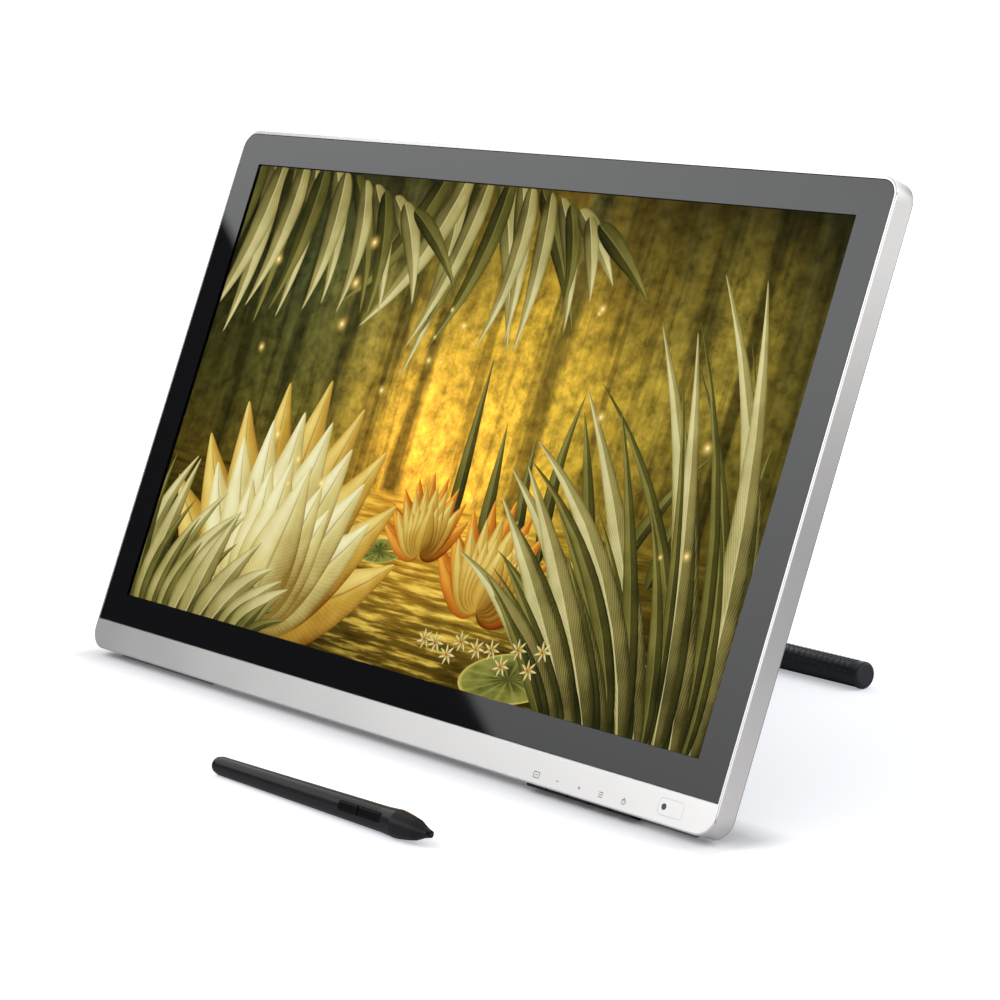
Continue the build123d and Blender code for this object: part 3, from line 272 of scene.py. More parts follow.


# painted shade and reflection for the silver paint: ramps along the chin and down the side band and a darker
# top corner, with dark hairlines at the joints
def makeSilverPaintedShade():
    tree = bpy.data.node_groups.new("silverPaintedShade", "ShaderNodeTree")
    tree.interface.new_socket("Tone", in_out="OUTPUT", socket_type="NodeSocketColor")
    target = addNode(tree, "NodeGroupOutput")
    spot = addNode(tree, "ShaderNodeTexCoord").outputs["Object"]
    away = addNode(tree, "ShaderNodeVectorMath", {0: spot, 1: middle}, operation="SUBTRACT").outputs[0]
    across, along, out = [
        addNode(
            tree, "ShaderNodeVectorMath", {0: away, 1: axis / mm}, operation="DOT_PRODUCT"
        ).outputs["Value"]
        for axis in (Vector((1, 0, 0)), upward, outward)
    ]
    tones = silverPaintedShade
    chin, band = [
        colorRamp(
            tree, spread(tree, value, *tones[key + "Span"]), [(at, (tone,) * 3) for at, tone in tones[key]]
        )
        for key, value in (("chin", across), ("band", along))
    ]
    side = sums(tree, "ABSOLUTE", across)
    beside = sums(
        tree, "MULTIPLY", spread(tree, side, *tones["bandStart"]), spread(tree, out, *tones["bandDepth"])
    )
    line = 1.0
    for value, at, end in ((out, tones["rearLine"], -99.0), (side, tones["frontLine"], -0.9)):
        gap = sums(tree, "ABSOLUTE", sums(tree, "SUBTRACT", value, at))
        gap = sums(tree, "ADD", gap, spread(tree, out, end, end - 0.1))
        reach = tones["lineHalf"] + tones["lineBlur"]
        gap = spread(tree, gap, tones["lineHalf"], reach, tones["lineTone"], 1.0)
        line = sums(tree, "MULTIPLY", gap, line)
    atSide = spread(tree, side, *tones["lineStart"])
    line = sums(tree, "MULTIPLY_ADD", sums(tree, "SUBTRACT", line, 1.0), atSide, 1.0)
    # near the sides, the chin's painted shade gives way to the band's
    tone = blendColor(tree, beside, chin, band)
    # painted shade on the band's top corners, darker towards the rear
    corner = sums(
        tree, "MULTIPLY", spread(tree, along, *tones["cornerRise"]), spread(tree, side, *tones["cornerSide"])
    )
    corner = sums(tree, "MULTIPLY", corner, spread(tree, out, *tones["cornerDepth"]))
    shade = spread(tree, out, *tones["cornerShadeTones"])
    shade = addNode(tree, "ShaderNodeCombineXYZ", {0: shade, 1: shade, 2: shade}).outputs[0]
    tone = blendColor(tree, corner, tone, shade)
    tree.links.new(blendColor(tree, line, (0.0, 0.0, 0.0), tone), target.inputs["Tone"])
    return tree


materials = {name: surfaceFinish(name, look) for name, look in finishes.items()}
silver = materials["silverPaintAndShade"].node_tree
shine = silver.nodes["Principled BSDF"].inputs["Base Color"]
# the silver paint's colour is multiplied by its painted shade
silverShadeColor = addNode(silver, "ShaderNodeGroup", node_tree=makeSilverPaintedShade()).outputs["Tone"]
silver.links.new(blendColor(silver, 1.0, shine.links[0].from_socket, silverShadeColor, "MULTIPLY"), shine)
for name, look in finishes.items():
    for node in look["nodes"]:
        for holder in frame["nodes"][node].material_slots:
            holder.material = materials[name]
print("finishes made:", len(materials))


# small tools for modelling
def clearSelection():
    if bpy.context.object and bpy.context.object.mode != "OBJECT":
        bpy.ops.object.mode_set(mode="OBJECT")
    bpy.ops.object.select_all(action="DESELECT")


def justAdded(name):
    piece = bpy.context.object
    piece.name = piece.data.name = name
    return piece


def editMode(piece, kind="VERT"):
    bpy.context.view_layer.objects.active = piece
    bpy.ops.object.mode_set(mode="EDIT")
    bpy.ops.mesh.select_mode(type=kind)
    bpy.ops.mesh.select_all(action="DESELECT")


def pick(piece, kind, rule):  # selects by place or normal, in edit mode
    shape = bmesh.from_edit_mesh(piece.data)
    for part in {"VERT": shape.verts, "EDGE": shape.edges, "FACE": shape.faces}[kind]:
        part.select_set(bool(rule(part)))
    shape.select_flush_mode()
    bmesh.update_edit_mesh(piece.data)


def place(piece, matrix):  # the place goes into the mesh, and the object stays at the origin
    bpy.ops.object.mode_set(mode="OBJECT")
    piece.data.transform(matrix @ piece.matrix_basis)
    piece.matrix_basis = Matrix.Identity(4)


def joinPieces(name, parts):
    clearSelection()
    for part in parts:
        part.select_set(True)
    bpy.context.view_layer.objects.active = parts[0]
    if len(parts) > 1:
        bpy.ops.object.join()
    return justAdded(name)


def settle(piece, material, body="display", smooth=None):
    if material is not None:
        piece.data.materials.clear()
        piece.data.materials.append(material)
    if smooth is not None:
        clearSelection()
        piece.select_set(True)
        bpy.context.view_layer.objects.active = piece
        bpy.ops.object.shade_smooth_by_angle(angle=math.radians(smooth))
    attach(piece, body)


# cover glass: a black printed border round a clear window
glassSizes = {
    "width": 515.4, "rise": 152.5, "drop": 151.6, "thickness": 1.8, "topRadius": 8.5, "bottomRadius": 0.8,
    "rim": 0.22, "windowWidth": 476.6, "windowHeight": 268.1,
}


def makeGlassMaterials():
    border, tree, shader = newMaterial("borderGlass")
    grain = addNode(tree, "ShaderNodeGroup", node_tree=grainGroup)
    grain.inputs["Fine Scale"].default_value = 700.0
    grain.inputs["Broad Scale"].default_value = 9.0
    tree.links.new(
        blendColor(tree, grain.outputs["Fine"], (0.0040, 0.0042, 0.0050), (0.0052, 0.0054, 0.0062)),
        shader.inputs["Base Color"],
    )
    tree.links.new(spread(tree, grain.outputs["Broad"], 0.3, 0.7, 0.0, 0.03), shader.inputs["Roughness"])
    window, tree, shader = newMaterial("windowGlass")
    grain = addNode(tree, "ShaderNodeGroup", node_tree=grainGroup)
    grain.inputs["Broad Scale"].default_value = 12.0
    shader.inputs["Base Color"].default_value = (1.0, 1.0, 1.0, 1.0)
    shader.inputs["Transmission Weight"].default_value = 1.0
    shader.inputs["IOR"].default_value = 1.03  # a coating takes the reflections off the lit area
    tree.links.new(spread(tree, grain.outputs["Broad"], 0.3, 0.7, 0.0, 0.006), shader.inputs["Roughness"])
    return border, window


def makeGlass():
    sizes = glassSizes
    clearSelection()
    bpy.ops.mesh.primitive_plane_add(size=1)
    glass = justAdded("glassPanel")
    glass.scale = (sizes["width"] * mm, (sizes["rise"] + sizes["drop"]) * mm, 1)
    glass.location = (0, (sizes["rise"] - sizes["drop"]) / 2 * mm, 0)
    place(glass, Matrix.Identity(4))
    editMode(glass)
    pick(glass, "VERT", lambda point: point.co.y > 0)
    bpy.ops.mesh.bevel(affect="VERTICES", offset=sizes["topRadius"] * mm, segments=14)
    pick(glass, "VERT", lambda point: point.co.y < -sizes["drop"] * mm + 1e-5)
    bpy.ops.mesh.bevel(affect="VERTICES", offset=sizes["bottomRadius"] * mm, segments=4)
    bpy.ops.mesh.select_all(action="SELECT")
    bpy.ops.mesh.extrude_region_move(TRANSFORM_OT_translate={"value": (0, 0, -sizes["thickness"] * mm)})
    bpy.ops.mesh.select_all(action="SELECT")
    bpy.ops.mesh.normals_make_consistent(inside=False)
    bpy.ops.mesh.select_mode(type="EDGE")
    pick(glass, "EDGE", lambda edge: all(abs(point.co.z) < 1e-7 for point in edge.verts))
    bpy.ops.mesh.bevel(affect="EDGES", offset=sizes["rim"] * mm, segments=3)
    for normal, half in (((1, 0, 0), sizes["windowWidth"] / 2), ((0, 1, 0), sizes["windowHeight"] / 2)):
        for way in (-1, 1):
            pick(glass, "EDGE", lambda edge: False)
            bpy.ops.mesh.select_mode(type="FACE")
            pick(glass, "FACE", lambda shape: abs(shape.normal.z) > 0.999)
            bpy.ops.mesh.bisect(plane_co=[way * half * mm * part for part in normal], plane_no=normal)
    bpy.ops.object.mode_set(mode="OBJECT")
    for material in makeGlassMaterials():
        glass.data.materials.append(material)
    for shape in glass.data.polygons:
        inside = abs(shape.center.x) < sizes["windowWidth"] / 2 * mm
        inside = inside and abs(shape.center.y) < sizes["windowHeight"] / 2 * mm
        shape.material_index = 1 if inside and abs(shape.normal.z) > 0.9 else 0
    place(glass, faceMatrix)
    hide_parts("cover_glass")
    settle(glass, None)


makeGlass()
print("cover glass made")


# the lit panel and its picture: a lily pond in golden evening light
screenSizes = {
    "width": 476.6, "height": 268.1, "cellMargin": 4.0, "cellDepth": 2.3, "cellThickness": 1.5,
    "pictureDepth": 2.24, "round": 0.2,
}


def makeCell():
    sizes = screenSizes
    clearSelection()
    bpy.ops.mesh.primitive_cube_add(size=1)
    cell = justAdded("screenCell")
    margin = 2 * sizes["cellMargin"]
    cell.scale = (
        (sizes["width"] + margin) * mm, (sizes["height"] + margin) * mm, sizes["cellThickness"] * mm
    )
    cell.location = (0, 0, -(sizes["cellDepth"] + sizes["cellThickness"] / 2) * mm)
    place(cell, Matrix.Identity(4))
    editMode(cell, "EDGE")
    bpy.ops.mesh.select_all(action="SELECT")
    bpy.ops.mesh.bevel(affect="EDGES", offset=sizes["round"] * mm, segments=2)
    bpy.ops.mesh.select_mode(type="FACE")
    pick(cell, "FACE", lambda shape: shape.normal.z > 0.999)
    bpy.ops.mesh.inset(thickness=(sizes["cellMargin"] - sizes["round"]) * mm, depth=0)
    bpy.ops.mesh.inset(thickness=0.02 * mm, depth=(sizes["cellDepth"] - sizes["pictureDepth"]) * mm)
    place(cell, Matrix.Identity(4))
    cell.data.materials.append(materials["blackPrint"])
    cell.data.materials.append(makeBackdropMaterial())
    for shape in cell.data.polygons:
        shape.material_index = int(shape.center.z > -(sizes["pictureDepth"] + 0.01) * mm)
    place(cell, faceMatrix)
    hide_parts("crystal_cell")
    settle(cell, None)


def glow(tree, across, along, centre, radius):  # a round glow, 1 in its middle
    offX = sums(tree, "SUBTRACT", across, centre[0])
    offY = sums(tree, "SUBTRACT", along, centre[1])
    square = sums(tree, "ADD", sums(tree, "MULTIPLY", offX, offX), sums(tree, "MULTIPLY", offY, offY))
    return sums(tree, "POWER", 2.718, sums(tree, "MULTIPLY", square, -1.0 / (radius * radius)))


def stretchedNoise(tree, uv, stretch, turn=0.0, detail=5.0, rough=0.55):
    mapping = addNode(
        tree, "ShaderNodeMapping", {"Vector": uv, "Scale": stretch, "Rotation": (0, 0, turn)}
    )
    return addNode(
        tree, "ShaderNodeTexNoise",
        {"Vector": mapping.outputs[0], "Scale": 1.0, "Detail": detail, "Roughness": rough},
    ).outputs["Fac"]


def litSurface(name):  # a material that only shines
    material, tree, shader = newMaterial(name)
    shader.inputs["Base Color"].default_value = (0, 0, 0, 1)
    shader.inputs["Roughness"].default_value = 1.0
    shader.inputs["Specular IOR Level"].default_value = 0.0
    shader.inputs["Emission Strength"].default_value = 1.0
    material.cycles.emission_sampling = "NONE"
    return material, tree, shader


pond = {
    "waterLine": 0.34,
    "tones": [  # from the bottom up
        (0.0, (0.020, 0.016, 0.004)), (0.20, (0.055, 0.040, 0.007)), (0.34, (0.130, 0.092, 0.012)),
        (0.50, (0.080, 0.070, 0.012)), (0.75, (0.026, 0.028, 0.008)), (1.0, (0.008, 0.009, 0.004)),
    ],
    "sunPlace": (0.98, 0.52), "sunRadius": 0.36, "sunColor": (0.80, 0.50, 0.045),
    "emberPlace": (0.86, 0.40), "emberRadius": 0.20, "emberColor": (0.58, 0.20, 0.018),
    "sidePlace": (1.56, 0.70), "sideRadius": 0.20, "sideColor": (0.40, 0.30, 0.04),
    "airPlace": (0.40, 0.72), "airRadius": 0.30, "airColor": (0.055, 0.068, 0.020),
    "gleamPlace": (1.06, 0.20), "gleamRadius": 0.30, "sideGleamPlace": (0.74, 0.20),
    "sideGleamRadius": 0.22, "sideGleamShare": 0.6, "gleamColor": (0.80, 0.56, 0.09),
    "trunkStretch": (11.0, 0.55, 1.0), "trunkTurn": 0.03, "thinStretch": (34.0, 0.9, 1.0), "thinTurn": -0.04,
    "trunkShare": 0.74, "trunkColor": (0.010, 0.010, 0.004),
    "shaftStretch": (16.0, 0.35, 1.0), "shaftTurn": 0.34, "shaftColor": (0.115, 0.125, 0.040),
    "leafageStretch": (26.0, 26.0, 1.0), "rippleStretch": (7.0, 74.0, 1.0),
    "edgePlace": (0.89, 0.46), "edgeRadius": 0.82, "edgeGain": 1.25, "edgeDark": (0.16, 0.16, 0.17),
    "edgeLight": (1.1, 1.1, 1.1),
}


def makeBackdropMaterial():
    material, tree, shader = litSurface("pondBackdrop")
    corner = onFace(-screenSizes["width"] / 2, -screenSizes["height"] / 2)
    spot = addNode(tree, "ShaderNodeTexCoord").outputs["Object"]
    away = addNode(tree, "ShaderNodeVectorMath", {0: spot, 1: corner}, operation="SUBTRACT").outputs[0]
    across, along = [  # counted in heights of the picture from its lower left corner
        addNode(
            tree, "ShaderNodeVectorMath", {0: away, 1: axis / (screenSizes["height"] * mm)},
            operation="DOT_PRODUCT",
        ).outputs["Value"]
        for axis in (Vector((1, 0, 0)), upward)
    ]
    flat = addNode(tree, "ShaderNodeCombineXYZ", {0: across, 1: along}).outputs[0]
    color = colorRamp(tree, along, pond["tones"])
    wobble = stretchedNoise(tree, flat, (3.0, 3.0, 1.0), detail=6.0, rough=0.62)
    for key in ("sun", "ember", "side", "air"):
        shine = glow(tree, across, along, pond[key + "Place"], pond[key + "Radius"])
        shine = sums(tree, "MULTIPLY", shine, spread(tree, wobble, 0.30, 0.68, 0.45, 1.25))
        color = blendColor(tree, shine, color, blendColor(tree, 1.0, color, pond[key + "Color"], "ADD"))
    above = spread(tree, along, pond["waterLine"] - 0.004, pond["waterLine"] + 0.012)
    trunks = stretchedNoise(tree, flat, pond["trunkStretch"], turn=pond["trunkTurn"], detail=3.0)
    trunks = spread(tree, trunks, 0.50, 0.60)
    thin = stretchedNoise(tree, flat, pond["thinStretch"], turn=pond["thinTurn"], detail=4.0)
    thin = sums(tree, "MULTIPLY", spread(tree, thin, 0.55, 0.63), 0.6)
    trunks = sums(tree, "MULTIPLY", sums(tree, "MAXIMUM", trunks, thin), above)
    color = blendColor(tree, sums(tree, "MULTIPLY", trunks, pond["trunkShare"]), color, pond["trunkColor"])
    shafts = stretchedNoise(tree, flat, pond["shaftStretch"], turn=pond["shaftTurn"], detail=2.0)
    shafts = spread(tree, shafts, 0.50, 0.78)
    shafts = sums(tree, "MULTIPLY", shafts, spread(tree, along, 0.40, 0.95, 0.0, 0.45))
    color = blendColor(tree, shafts, color, blendColor(tree, 1.0, color, pond["shaftColor"], "ADD"))
    leafage = stretchedNoise(tree, flat, pond["leafageStretch"], detail=8.0, rough=0.72)
    leafage = colorRamp(tree, leafage, [(0.34, (0.42, 0.42, 0.42)), (0.66, (1.55, 1.5, 1.35))])
    color = blendColor(tree, above, color, blendColor(tree, 1.0, color, leafage, "MULTIPLY"))
    ripples = stretchedNoise(tree, flat, pond["rippleStretch"], detail=5.0, rough=0.6)
    gleam = glow(tree, across, along, pond["gleamPlace"], pond["gleamRadius"])
    sideGleam = glow(tree, across, along, pond["sideGleamPlace"], pond["sideGleamRadius"])
    gleam = sums(tree, "ADD", gleam, sums(tree, "MULTIPLY", sideGleam, pond["sideGleamShare"]))
    gleam = sums(tree, "MULTIPLY", gleam, spread(tree, ripples, 0.50, 0.66))
    water = blendColor(tree, spread(tree, ripples, 0.32, 0.66), (0.30, 0.28, 0.25), (1.35, 1.3, 1.1))
    water = blendColor(tree, 1.0, color, water, "MULTIPLY")
    water = blendColor(tree, gleam, water, pond["gleamColor"])
    color = blendColor(tree, above, water, color)
    edge = glow(tree, across, along, pond["edgePlace"], pond["edgeRadius"])
    edge = sums(tree, "MULTIPLY", edge, pond["edgeGain"])
    edge = blendColor(tree, edge, pond["edgeDark"], pond["edgeLight"])
    color = blendColor(tree, 1.0, color, edge, "MULTIPLY")
    tree.links.new(color, shader.inputs["Emission Color"])
    return material


makeCell()
print("screen made")


# plants of the picture: thin layers in front of the backdrop, each a little nearer than the last
picture = {
    "deepest": 2.225, "step": 0.0017, "halfWidth": 238.0, "halfHeight": 133.8,
    "leaf": {"points": 44, "cuts": 2, "taper": -1.5},
    "pad": {"points": 56, "cuts": 2, "notch": 9.0, "flat": 0.36},
    "spark": {"points": 20},
    "reeds": {"count": 9, "start": (20, -62), "step": 26, "turn": (70, 112), "length": (60, 105), "width": 8},
    "twigs": {
        "leaves": 16, "droop": 26, "bend": (-0.75, -0.2),
        "places": [((-236, 142), 150), ((-64, 144), 128)],  # where each begins, and how far it reaches
    },
    "pads": [
        ((-196, -84), 46), ((-118, -94), 62), ((132, -92), 58), ((205, -104), 70), ((62, -76), 40),
        ((-30, -74), 38), ((96, -122), 74), ((-165, -124), 82),
    ],
    "flowers": [
        ((58, -92), 60, ("petalOrange", "petalGold"), -6), ((2, -70), 44, ("petalOrange", "petalGold"), 8),
        ((-126, -124), 138, ("petalGold", "petalCream"), -6),
    ],
    "petals": [  # count, half of the fan in degrees, length, width and which colour
        (9, 78, 1.00, 0.30, 0), (8, 62, 0.86, 0.29, 1), (6, 44, 0.66, 0.27, 1),
    ],
    "tallLeaves": {
        "count": 30, "span": 112, "foot": -142, "nearWidth": (13, 17), "farWidth": (6, 10),
        "places": [(-240, 1, 104), (242, -1, 258)],  # where they begin, which way they go, how tall
    },
    "blossoms": {"count": 10, "start": (26, -112), "step": 10, "petals": 7, "length": 5.2, "width": 1.5},
    "fireflies": {"count": 22, "across": (-200, 205), "along": (-60, 95), "size": (5, 14)},
}
plantColors = {
    "leafPale": [(0.045, 0.038, 0.008), (0.34, 0.29, 0.085), (0.74, 0.68, 0.34)],
    "leafOlive": [(0.014, 0.015, 0.004), (0.090, 0.082, 0.015), (0.28, 0.25, 0.060)],
    "petalCream": [(0.24, 0.15, 0.024), (0.66, 0.56, 0.20), (0.93, 0.90, 0.58)],
    "petalGold": [(0.20, 0.075, 0.006), (0.55, 0.33, 0.045), (0.86, 0.68, 0.20)],
    "petalOrange": [(0.13, 0.028, 0.003), (0.56, 0.16, 0.012), (0.88, 0.46, 0.06)],
}


def makeLeafPattern():
    tree = bpy.data.node_groups.new("leafPattern", "ShaderNodeTree")
    for name in ("Tone", "Rib"):
        tree.interface.new_socket(name, in_out="OUTPUT", socket_type="NodeSocketFloat")
    for name in ("Fold", "Veins"):
        tree.interface.new_socket(name, in_out="INPUT", socket_type="NodeSocketFloat")
    source, target = addNode(tree, "NodeGroupInput"), addNode(tree, "NodeGroupOutput")
    coordinates = addNode(tree, "ShaderNodeTexCoord")
    axes = addNode(tree, "ShaderNodeSeparateXYZ", {"Vector": coordinates.outputs["UV"]})
    along = sums(tree, "MULTIPLY_ADD", axes.outputs[0], 2.0, -1.0)
    half = sums(tree, "MULTIPLY_ADD", along, sums(tree, "MULTIPLY", along, -1.0), 1.0)
    half = sums(tree, "SQRT", sums(tree, "MAXIMUM", half, 0.02))
    side = sums(tree, "DIVIDE", sums(tree, "MULTIPLY_ADD", axes.outputs[1], 2.0, -1.0), half)
    away = sums(tree, "ABSOLUTE", side)
    cloud = addNode(
        tree, "ShaderNodeTexNoise", {"Vector": coordinates.outputs["Object"], "Scale": 55.0, "Detail": 5.0}
    ).outputs["Fac"]
    fibre = sums(tree, "ADD", sums(tree, "MULTIPLY", away, -34.0), sums(tree, "MULTIPLY", cloud, 1.5))
    fibre = sums(tree, "SINE", sums(tree, "ADD", sums(tree, "MULTIPLY", along, 120.0), fibre))
    fold = source.outputs["Fold"]
    tone = spread(tree, side, sums(tree, "MULTIPLY", fold, -1.0), fold, 0.36, 0.66)
    tone = sums(tree, "ADD", tone, sums(tree, "MULTIPLY", fibre, source.outputs["Veins"]))
    tone = sums(tree, "ADD", tone, spread(tree, cloud, 0.3, 0.7, -0.08, 0.08))
    tone = sums(tree, "ADD", tone, spread(tree, along, -1.0, 0.6, -0.22, 0.15))
    tone = sums(tree, "SUBTRACT", tone, sums(tree, "MULTIPLY", sums(tree, "POWER", away, 5.0), 0.30))
    tree.links.new(tone, target.inputs["Tone"])
    tree.links.new(spread(tree, away, 0.075, 0.03), target.inputs["Rib"])
    return tree


def plantMaterial(name, pattern):
    material, tree, shader = litSurface(name)
    isLeaf = name.startswith("leaf")
    marks = addNode(tree, "ShaderNodeGroup", node_tree=pattern)
    marks.inputs["Fold"].default_value = 0.07 if isLeaf else 0.42
    marks.inputs["Veins"].default_value = 0.065 if isLeaf else 0.022
    dark, mid, light = plantColors[name]
    color = colorRamp(tree, marks.outputs["Tone"], [(0.10, dark), (0.50, mid), (0.88, light)])
    ribShare = sums(tree, "MULTIPLY", marks.outputs["Rib"], 0.6)
    rib = light if isLeaf else tuple(channel * 0.42 for channel in mid)
    tree.links.new(blendColor(tree, ribShare, color, rib), shader.inputs["Emission Color"])
    return material


def padMaterial():
    material, tree, shader = litSurface("padGreen")
    uv = addNode(tree, "ShaderNodeTexCoord").outputs["UV"]
    flat = addNode(tree, "ShaderNodeMapping", {"Vector": uv, "Location": (-0.5, -0.5, 0)}).outputs[0]
    axes = addNode(tree, "ShaderNodeSeparateXYZ", {"Vector": flat})
    turn = sums(tree, "ARCTAN2", axes.outputs[1], axes.outputs[0])
    reach = addNode(tree, "ShaderNodeVectorMath", {0: flat}, operation="LENGTH").outputs["Value"]
    veins = sums(tree, "COSINE", sums(tree, "MULTIPLY", turn, 7.0))
    veins = sums(tree, "POWER", sums(tree, "ABSOLUTE", veins), 9.0)
    blotch = stretchedNoise(tree, uv, (5.0, 5.0, 1.0), detail=6.0)
    color = colorRamp(tree, sums(tree, "ADD", sums(tree, "MULTIPLY", reach, 0.9), blotch), [
        (0.35, (0.016, 0.020, 0.004)), (0.62, (0.085, 0.095, 0.016)), (0.90, (0.24, 0.24, 0.045)),
    ])
    color = blendColor(tree, sums(tree, "MULTIPLY", veins, 0.5), color, (0.34, 0.33, 0.075))
    color = blendColor(tree, spread(tree, reach, 0.455, 0.485), color, (0.52, 0.44, 0.10))
    tree.links.new(color, shader.inputs["Emission Color"])
    return material


def sparkMaterial():
    material, tree, shader = litSurface("sparkGlow")
    uv = addNode(tree, "ShaderNodeTexCoord").outputs["UV"]
    flat = addNode(tree, "ShaderNodeMapping", {"Vector": uv, "Location": (-0.5, -0.5, 0)}).outputs[0]
    reach = addNode(tree, "ShaderNodeVectorMath", {0: flat}, operation="LENGTH").outputs["Value"]
    color = colorRamp(tree, reach, [
        (0.0, (1.0, 0.94, 0.62)), (0.12, (1.0, 0.74, 0.20)), (0.5, (0.72, 0.34, 0.03)),
    ])
    tree.links.new(color, shader.inputs["Emission Color"])
    tree.links.new(sums(tree, "POWER", spread(tree, reach, 0.5, 0.02), 2.2), shader.inputs["Alpha"])
    return material


def applied(piece, kind, **settings):  # adds one modifier and applies it
    modifier = piece.modifiers.new(kind.lower(), kind)
    for key, value in settings.items():
        setattr(modifier, key, value)
    clearSelection()
    piece.select_set(True)
    bpy.context.view_layer.objects.active = piece
    bpy.ops.object.modifier_apply(modifier=modifier.name)


def roundBlank(name, points, cuts):
    clearSelection()
    bpy.ops.mesh.primitive_circle_add(vertices=points, radius=1, fill_type="TRIFAN", calc_uvs=True)
    blank = justAdded(name)
    if cuts:
        editMode(blank)
        bpy.ops.mesh.select_all(action="SELECT")
        bpy.ops.mesh.subdivide(number_cuts=cuts)
        bpy.ops.object.mode_set(mode="OBJECT")
    return blank


class Growing:  # keeps the layers apart while plants are set one in front of another
    def __init__(self):
        self.level = picture["deepest"]
        self.parts = {}

    def add(self, blank, material, at, angle, length, width, bend=0.0, fromBase=True, sameLevel=False):
        copy = bpy.data.objects.new(material, blank.data.copy())
        bpy.context.scene.collection.objects.link(copy)
        shift = Matrix.Translation((1.0 if fromBase else 0.0, 0, 0))
        copy.data.transform(Matrix.Diagonal((length / 2 * mm, width / 2 * mm, 1, 1)) @ shift)
        if bend:
            applied(copy, "SIMPLE_DEFORM", deform_method="BEND", deform_axis="Z", angle=bend)
        if not sameLevel:
            self.level -= picture["step"]
        copy.data.transform(
            Matrix.Translation((at[0] * mm, at[1] * mm, -self.level * mm))
            @ Matrix.Rotation(math.radians(angle), 4, "Z")
        )
        self.parts.setdefault(material, []).append(copy)


def openFlower(growing, leaf, at, size, colors, turn):
    for count, half, length, width, which in picture["petals"]:
        order = sorted(range(count), key=lambda number: -abs(number - (count - 1) / 2))
        for number in order:  # the outer ones first
            lean = half * (2 * number / (count - 1) - 1)
            reach = size * length * (1 - 0.12 * abs(lean) / half)
            growing.add(
                leaf, colors[which], at, 90 - lean + turn, reach, size * width, bend=0.55 * lean / half
            )


def makePicture():
    chance = random.Random(11)
    leafSizes, padSizes = picture["leaf"], picture["pad"]
    leaf = roundBlank("leafBlank", leafSizes["points"], leafSizes["cuts"])
    applied(leaf, "SIMPLE_DEFORM", deform_method="TAPER", deform_axis="X", factor=leafSizes["taper"])
    pad = roundBlank("padBlank", padSizes["points"], padSizes["cuts"])
    editMode(pad, "FACE")
    notch = math.radians(padSizes["notch"])
    pick(pad, "FACE", lambda shape: abs(math.atan2(*shape.calc_center_median().yx)) < notch)
    bpy.ops.mesh.delete(type="FACE")
    bpy.ops.object.mode_set(mode="OBJECT")
    spark = roundBlank("sparkBlank", picture["spark"]["points"], 1)
    growing = Growing()
    sizes = picture["reeds"]
    for number in range(sizes["count"]):  # a far row along the right bank
        at = (sizes["start"][0] + sizes["step"] * number + chance.uniform(-6, 6), sizes["start"][1])
        growing.add(leaf, "leafOlive", at, chance.uniform(*sizes["turn"]), chance.uniform(*sizes["length"]),
                    sizes["width"], bend=chance.uniform(-0.5, 0.5))
    sizes = picture["twigs"]
    for number in range(sizes["leaves"]):  # they hang in at the top, from the left
        for start, span in sizes["places"]:
            reach = number / (sizes["leaves"] - 1)
            at = (start[0] + span * reach, start[1] - sizes["droop"] * reach * reach)
            growing.add(leaf, "leafPale" if number % 3 else "leafOlive", at,
                        -90 + (52 * reach + 22 * (number % 2) - 14) + chance.uniform(-7, 7),
                        118 - 62 * reach + chance.uniform(-12, 14), 15 - 4 * reach + chance.uniform(-2, 2),
                        bend=chance.uniform(*sizes["bend"]))
    for at, size in picture["pads"]:
        turn = chance.uniform(-20, 20)
        growing.add(pad, "padGreen", at, turn, size, size * padSizes["flat"], fromBase=False)
    for at, size, colors, turn in picture["flowers"]:
        openFlower(growing, leaf, at, size, colors, turn)
    sizes = picture["tallLeaves"]
    for number in range(sizes["count"]):  # in front, low at the left and high at the right
        for start, way, tall in sizes["places"]:
            reach = number / (sizes["count"] - 1)
            near = number % 3 == 0
            at = (start + way * sizes["span"] * reach, sizes["foot"])
            growing.add(leaf, "leafPale" if near else "leafOlive", at,
                        90 + way * (8 - 52 * reach) + chance.uniform(-9, 9),
                        tall * (1.0 - 0.52 * reach) * (1.0 if near else chance.uniform(0.6, 1.02)),
                        chance.uniform(*sizes["nearWidth" if near else "farWidth"]),
                        bend=-way * chance.uniform(0.2, 0.8))
    sizes = picture["blossoms"]
    for number in range(sizes["count"]):  # small ones on the near bank
        at = (sizes["start"][0] + sizes["step"] * number + chance.uniform(-3, 3),
              sizes["start"][1] + chance.uniform(-9, 9))
        for petal in range(sizes["petals"]):
            turn = 360 / sizes["petals"] * petal
            start = (at[0] + 1.1 * math.cos(math.radians(turn)), at[1] + 0.7 * math.sin(math.radians(turn)))
            growing.add(
                leaf, "petalCream", start, turn, sizes["length"], sizes["width"], sameLevel=petal > 0
            )
        growing.add(spark, "petalOrange", at, 0, 2.4, 1.8, fromBase=False)
    sizes = picture["fireflies"]
    for number in range(sizes["count"]):  # over the water
        at = (chance.uniform(*sizes["across"]), chance.uniform(*sizes["along"]))
        size = chance.uniform(*sizes["size"])
        growing.add(spark, "sparkGlow", at, 0, size, size, fromBase=False)
    for blank in (leaf, pad, spark):
        bpy.data.objects.remove(blank)
    pattern = makeLeafPattern()
    for name, parts in growing.parts.items():
        piece = joinPieces(name + "Layer", parts)
        editMode(piece)
        for normal, half in (((1, 0, 0), picture["halfWidth"]), ((0, 1, 0), picture["halfHeight"])):
            for way in (-1, 1):
                bpy.ops.mesh.select_all(action="SELECT")
                bpy.ops.mesh.bisect(plane_co=[way * half * mm * part for part in normal],
                                    plane_no=[way * part for part in normal], clear_outer=True)
        place(piece, faceMatrix)
        material = {"padGreen": padMaterial, "sparkGlow": sparkMaterial}.get(name)
        settle(piece, material() if material else plantMaterial(name, pattern))
    print("plants end at level", round(growing.level, 3))


makePicture()
print("picture made")


